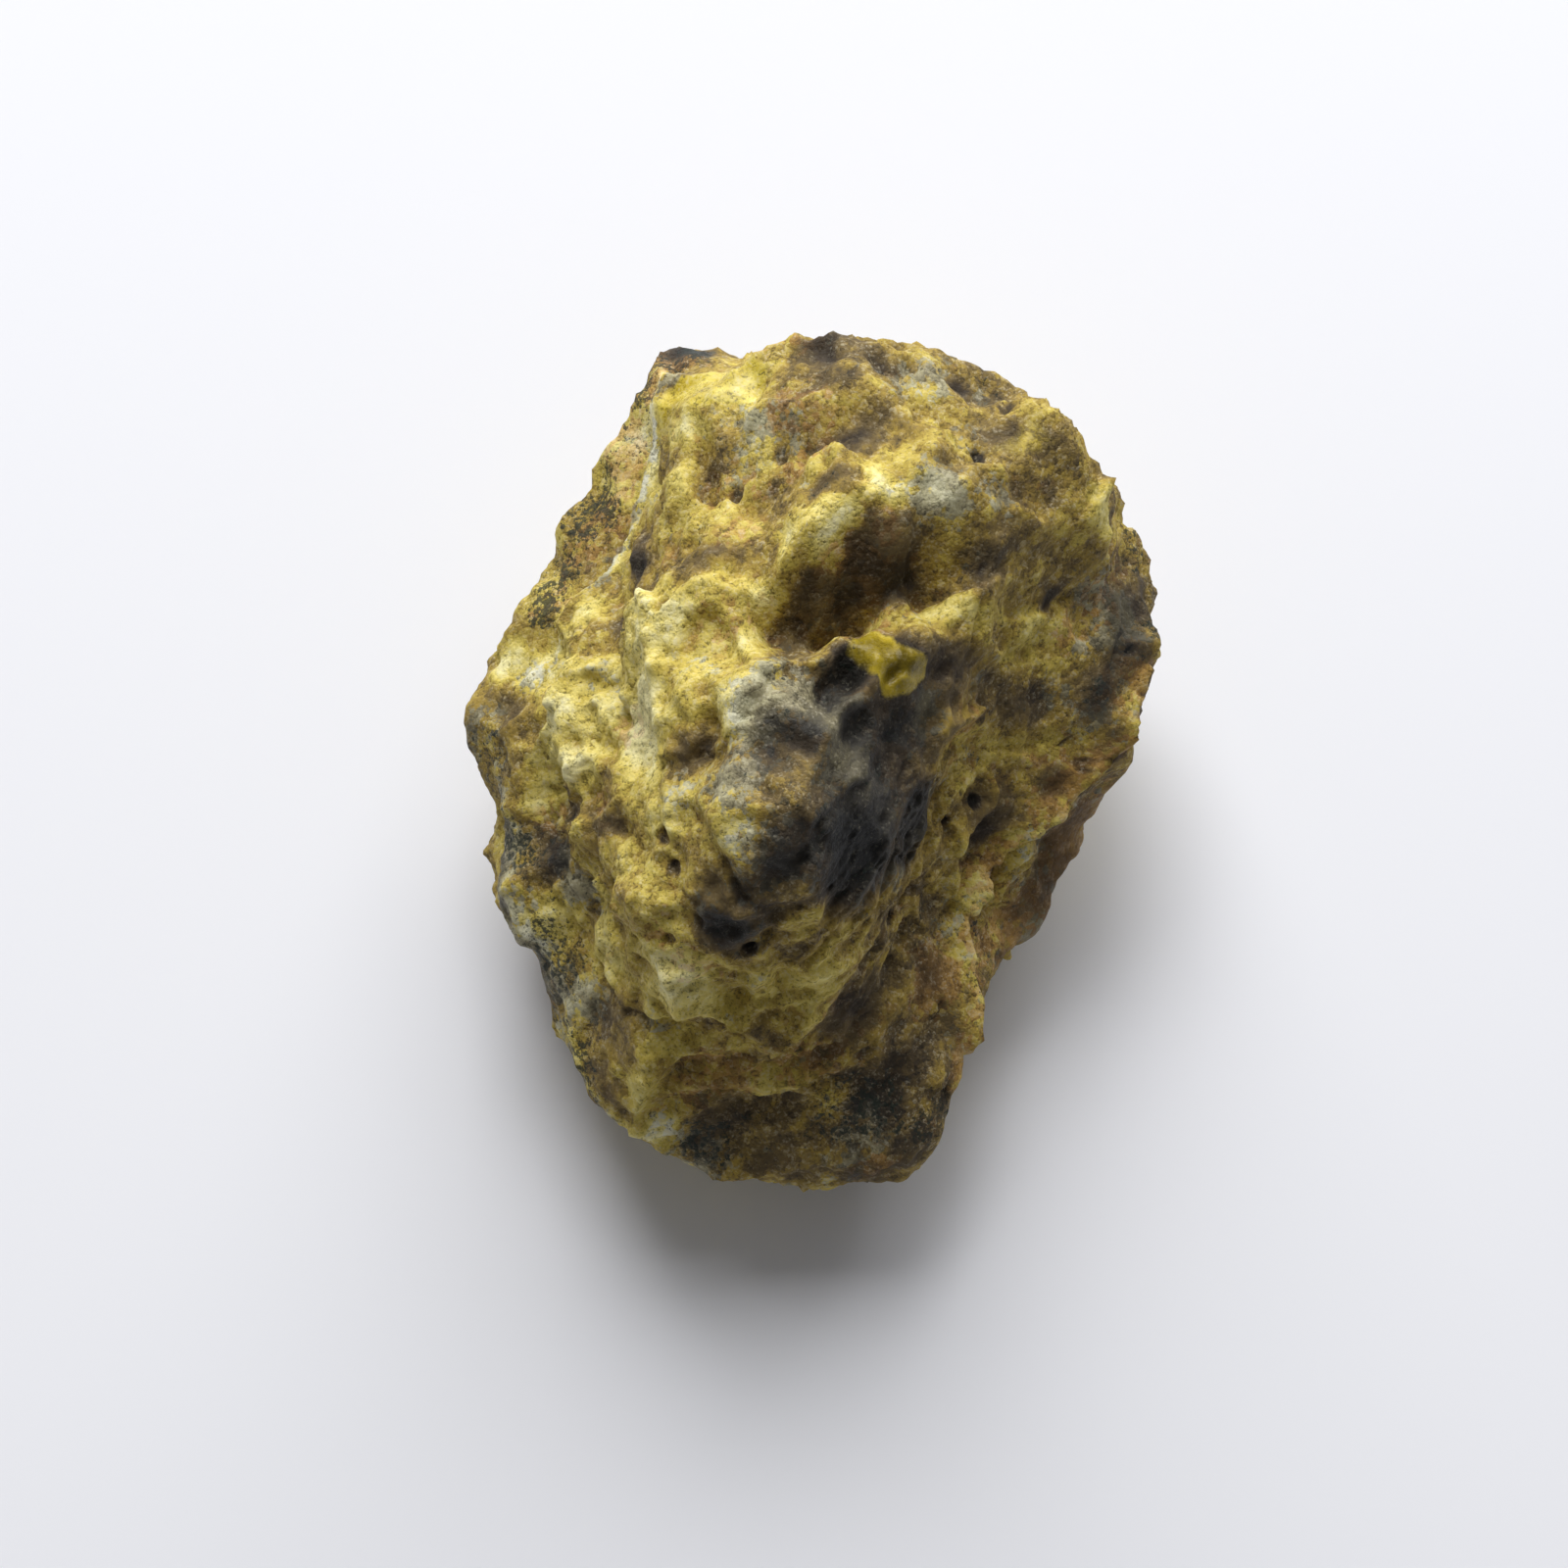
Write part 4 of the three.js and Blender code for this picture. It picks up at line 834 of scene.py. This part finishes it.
# A range is: from, to, and what these two become, or else 0 and 1. A sum, in braces, has how much each
# pattern moves the value: its distance from its middle, times this amount.
look = {
    # The patterns: size and bend of the grains, and size, detail, roughness and warp of the noises.
    "grains": {"large": (1.1, 0.9), "small": (0.42, 0.9), "sand": (0.19, 0.7)},
    "noises": {"cloud": (1.7, 6.0, 0.65, 0.5), "hair": (0.16, 4.0, 0.7), "dust": (0.06, 3.0)},
    "gritRange": (0.1, 0.6),
    # The tone, whose mottle is weaker in dark and in calm parts. Painted shade makes the hollows and pits
    # darker.
    "darkCalms": (0.15, 0.5, 0.45, 1.0),
    "flankCalms": (0.3, 0.8, 1.0, 0.5),
    "mottle": {"cloud": 0.55, "largeFirst": 0.14, "smallFirst": 0.1, "hair": 0.1, "grit": 0.4},
    "dirt": {"hollow": -0.3, "pit": -0.3},
    # The minerals: the sum that makes their borders ragged, and the range over which they begin.
    "cool": ({"cloud": 0.5, "largeSecond": 0.3, "smallSecond": 0.5, "sandSecond": 0.2}, (0.35, 0.6)),
    "rust": ({"hollow": 0.3, "smallThird": 0.6, "cloud": -0.5}, (0.45, 0.75)),
    "glass": ({"cloud": 0.6, "hair": 0.4}, (0.25, 0.75)),
    "coolCover": 0.75,  # how far it covers the ochre
    "rustCover": 0.8,
    "glassTone": (0.6, 0.7, 0.4, 0.3),  # share of the tone, of the clouds, their middle, and the rest
    # Clear and dark grains, which take the colour out of what lies below them.
    "speckle": {"smallFirst": 0.25, "sandFirst": 0.4, "hair": 1.2, "grit": 1.0},
    "clearRange": (0.03, 0.42, 0.0, 0.38),
    "clearGrain": "#d2cbb4",
    "darkRange": (-0.42, -0.03, 0.68, 0.0),
    "darkGrain": "#26241d",
    # Dark green flecks, where hair noise and small grains agree.
    "flecks": {"largeThird": 0.15, "smallSecond": 0.35, "sandSecond": 0.45, "hair": 1.2, "cloud": -0.6},
    "fleckRange": (0.56, 0.68),
    "fleckCover": 0.85,
    "darkFleck": "#262e27",
    # The finish, which is smoother where there is grey or glassy mineral.
    "roughness": (0.3, 0.7, 0.62, 0.85),
    "coolSmoother": 0.14,
    "glassSmoother": 0.42,
    "shine": 0.25,
    # Relief finer than the mesh, in millimetres, and how much of it cloudy and glassy places have.
    "skin": {"smallDepth": -0.1, "smallFirst": 0.05, "sandDepth": -0.04, "hair": 0.06, "dust": 0.012},
    "cloudRelief": (0.35, 0.6, 1.2, 0.5),
    "glassRelief": (0, 1, 1.0, 0.3),
}


def makeStoneMaterial():
    material = bpy.data.materials.new("ochreStone")
    material.use_nodes = True
    tree = material.node_tree
    shader = tree.nodes["Principled BSDF"]
    place = placeNode(tree)
    grainGroup = makeGrainGroup()

    def times(a, b):
        return mathNode(tree, "MULTIPLY", a, b)

    def plus(a, b):
        return mathNode(tree, "ADD", a, b)

    # A pattern's distance from its middle, times how much it counts.
    def about(value, amount, middle):
        return times(mathNode(tree, "SUBTRACT", value, middle), amount)

    # The starting value, plus what each pattern of the sum moves it by.
    def moved(start, amounts, middle=0.5):
        for pattern, amount in amounts.items():
            start = plus(start, about(patterns[pattern], amount, middles.get(pattern, middle)))
        return start

    # How much of a mineral shows, from its share at the place and from its own sum.
    def mineral(name):
        amounts, limits = look[name]
        return rangeNode(tree, moved(shareNode(tree, name), amounts), *limits)

    patterns = {name: shareNode(tree, name) for name in ("hollow", "pit")}
    patterns |= {name: noiseNode(tree, place, *settings) for name, settings in look["noises"].items()}
    for size, (step, bend) in look["grains"].items():
        node = addNode(tree, "ShaderNodeGroup", node_tree=grainGroup)
        tree.links.new(place, node.inputs["Place"])
        node.inputs["Size"].default_value = step
        node.inputs["Bend"].default_value = bend
        patterns |= {size + output.name: output for output in node.outputs}
    # Grit is hair noise where there are flecks.
    flecked = shareNode(tree, "fleck")
    grit = rangeNode(tree, flecked, *look["gritRange"])
    patterns["grit"] = times(about(patterns["hair"], 1.0, 0.5), grit)
    middles = {"hollow": evenHollow, "pit": 0.0, "grit": 0.0}

    base = shareNode(tree, "tone")
    flank = rangeNode(tree, shareNode(tree, "calm"), *look["flankCalms"])
    strength = times(rangeNode(tree, base, *look["darkCalms"]), flank)
    # Painted shade: the hollows and pits are darkened here.
    tone = moved(plus(base, times(moved(0.0, look["mottle"]), strength)), look["dirt"])

    cool, rust, glass = mineral("cool"), mineral("rust"), mineral("glass")
    ofTone, ofCloud, middle, rest = look["glassTone"]
    glassTone = plus(plus(times(tone, ofTone), about(patterns["cloud"], ofCloud, middle)), rest)
    colour = scaleNode(tree, tone, "ochre")
    colour = mixNode(tree, times(cool, look["coolCover"]), colour, scaleNode(tree, tone, "cool"))
    colour = mixNode(tree, times(rust, look["rustCover"]), colour, scaleNode(tree, tone, "rust"))
    colour = mixNode(tree, glass, colour, scaleNode(tree, glassTone, "glass"))

    speckle = times(moved(0.0, look["speckle"]), strength)
    colour = mixNode(tree, rangeNode(tree, speckle, *look["clearRange"]), colour, paint(look["clearGrain"]))
    colour = mixNode(tree, rangeNode(tree, speckle, *look["darkRange"]), colour, paint(look["darkGrain"]))
    fleck = rangeNode(tree, moved(flecked, look["flecks"]), *look["fleckRange"])
    colour = mixNode(tree, times(fleck, look["fleckCover"]), colour, paint(look["darkFleck"]))
    tree.links.new(colour, shader.inputs["Base Color"])

    rough = rangeNode(tree, patterns["hair"], *look["roughness"])
    rough = mathNode(tree, "SUBTRACT", rough, times(cool, look["coolSmoother"]))
    rough = mathNode(tree, "SUBTRACT", rough, times(glass, look["glassSmoother"]), clamp=True)
    tree.links.new(rough, shader.inputs["Roughness"])
    shader.inputs["Specular IOR Level"].default_value = look["shine"]

    height = moved(0.0, look["skin"], middle=0.0)
    height = times(height, rangeNode(tree, patterns["cloud"], *look["cloudRelief"]))
    height = times(height, rangeNode(tree, glass, *look["glassRelief"]))
    bump = addNode(tree, "ShaderNodeBump", {"Strength": 1.0, "Distance": millimetre, "Height": height})
    tree.links.new(bump.outputs["Normal"], shader.inputs["Normal"])
    return material


stone.data.materials.append(makeStoneMaterial())
print("stone material")

# Floor, light and camera

studio = {
    "floorSize": 3,
    "floorColour": "#ecedf2",
    "floorRoughness": 0.9,
    "worldColour": (1.0, 1.0, 1.02),
    "worldStrength": 0.17,
    "lampAim": (0, 0, 0.012),
    "lampDistance": 0.7,
    # Turn round the stone from east, height above the floor in degrees, side of the square and power.
    "lamps": {"window": (85, 32, 0.8, 6.3), "sky": (100, 55, 0.35, 2.45)},
    "cameraPlace": (-1.7, -66.3, 256.05),  # millimetres
    "cameraElevation": 75,
    "clipStart": 0.01,
    "lens": 99,
    "sensor": 36,
}


def makeFloor():
    half = studio["floorSize"] / 2
    corners = [(-half, -half, 0), (half, -half, 0), (half, half, 0), (-half, half, 0)]
    mesh = bpy.data.meshes.new("floor")
    mesh.from_pydata(corners, [], [(0, 1, 2, 3)])
    paper = bpy.data.materials.new("paper")
    paper.use_nodes = True
    surface = paper.node_tree.nodes["Principled BSDF"].inputs
    surface["Base Color"].default_value = paint(studio["floorColour"])
    surface["Roughness"].default_value = studio["floorRoughness"]
    mesh.materials.append(paper)
    addObject("floor", mesh)


def makeLights():
    world = bpy.data.worlds.new("studio")
    bpy.context.scene.world = world
    world.use_nodes = True
    background = world.node_tree.nodes["Background"]
    background.inputs["Color"].default_value = (*studio["worldColour"], 1)
    background.inputs["Strength"].default_value = studio["worldStrength"]
    for name, (turnRound, raised, size, power) in studio["lamps"].items():
        turnRound, raised = np.radians(turnRound), np.radians(raised)
        light = bpy.data.lights.new(name, "AREA")
        light.energy = power
        light.size = size
        level = np.cos(raised)
        place = Vector((level * np.cos(turnRound), level * np.sin(turnRound), np.sin(raised)))
        place = place * studio["lampDistance"]
        addObject(name, light, place, (Vector(studio["lampAim"]) - place).to_track_quat("-Z", "Y"))


def makeCamera():
    camera = bpy.data.cameras.new("camera")
    camera.sensor_width = studio["sensor"]
    camera.lens = studio["lens"]
    camera.clip_start = studio["clipStart"]
    elevation = np.radians(studio["cameraElevation"])
    right = Vector((1, 0, 0))
    up = Vector((0, np.sin(elevation), np.cos(elevation)))
    turn = Matrix((right, up, right.cross(up))).transposed().to_quaternion()
    place = (np.array(studio["cameraPlace"]) + seat) * millimetre
    bpy.context.scene.camera = addObject("camera", camera, place, turn)


makeFloor()
makeLights()
makeCamera()
bpy.context.scene.view_settings.view_transform = "Standard"
print("floor, lights and camera")
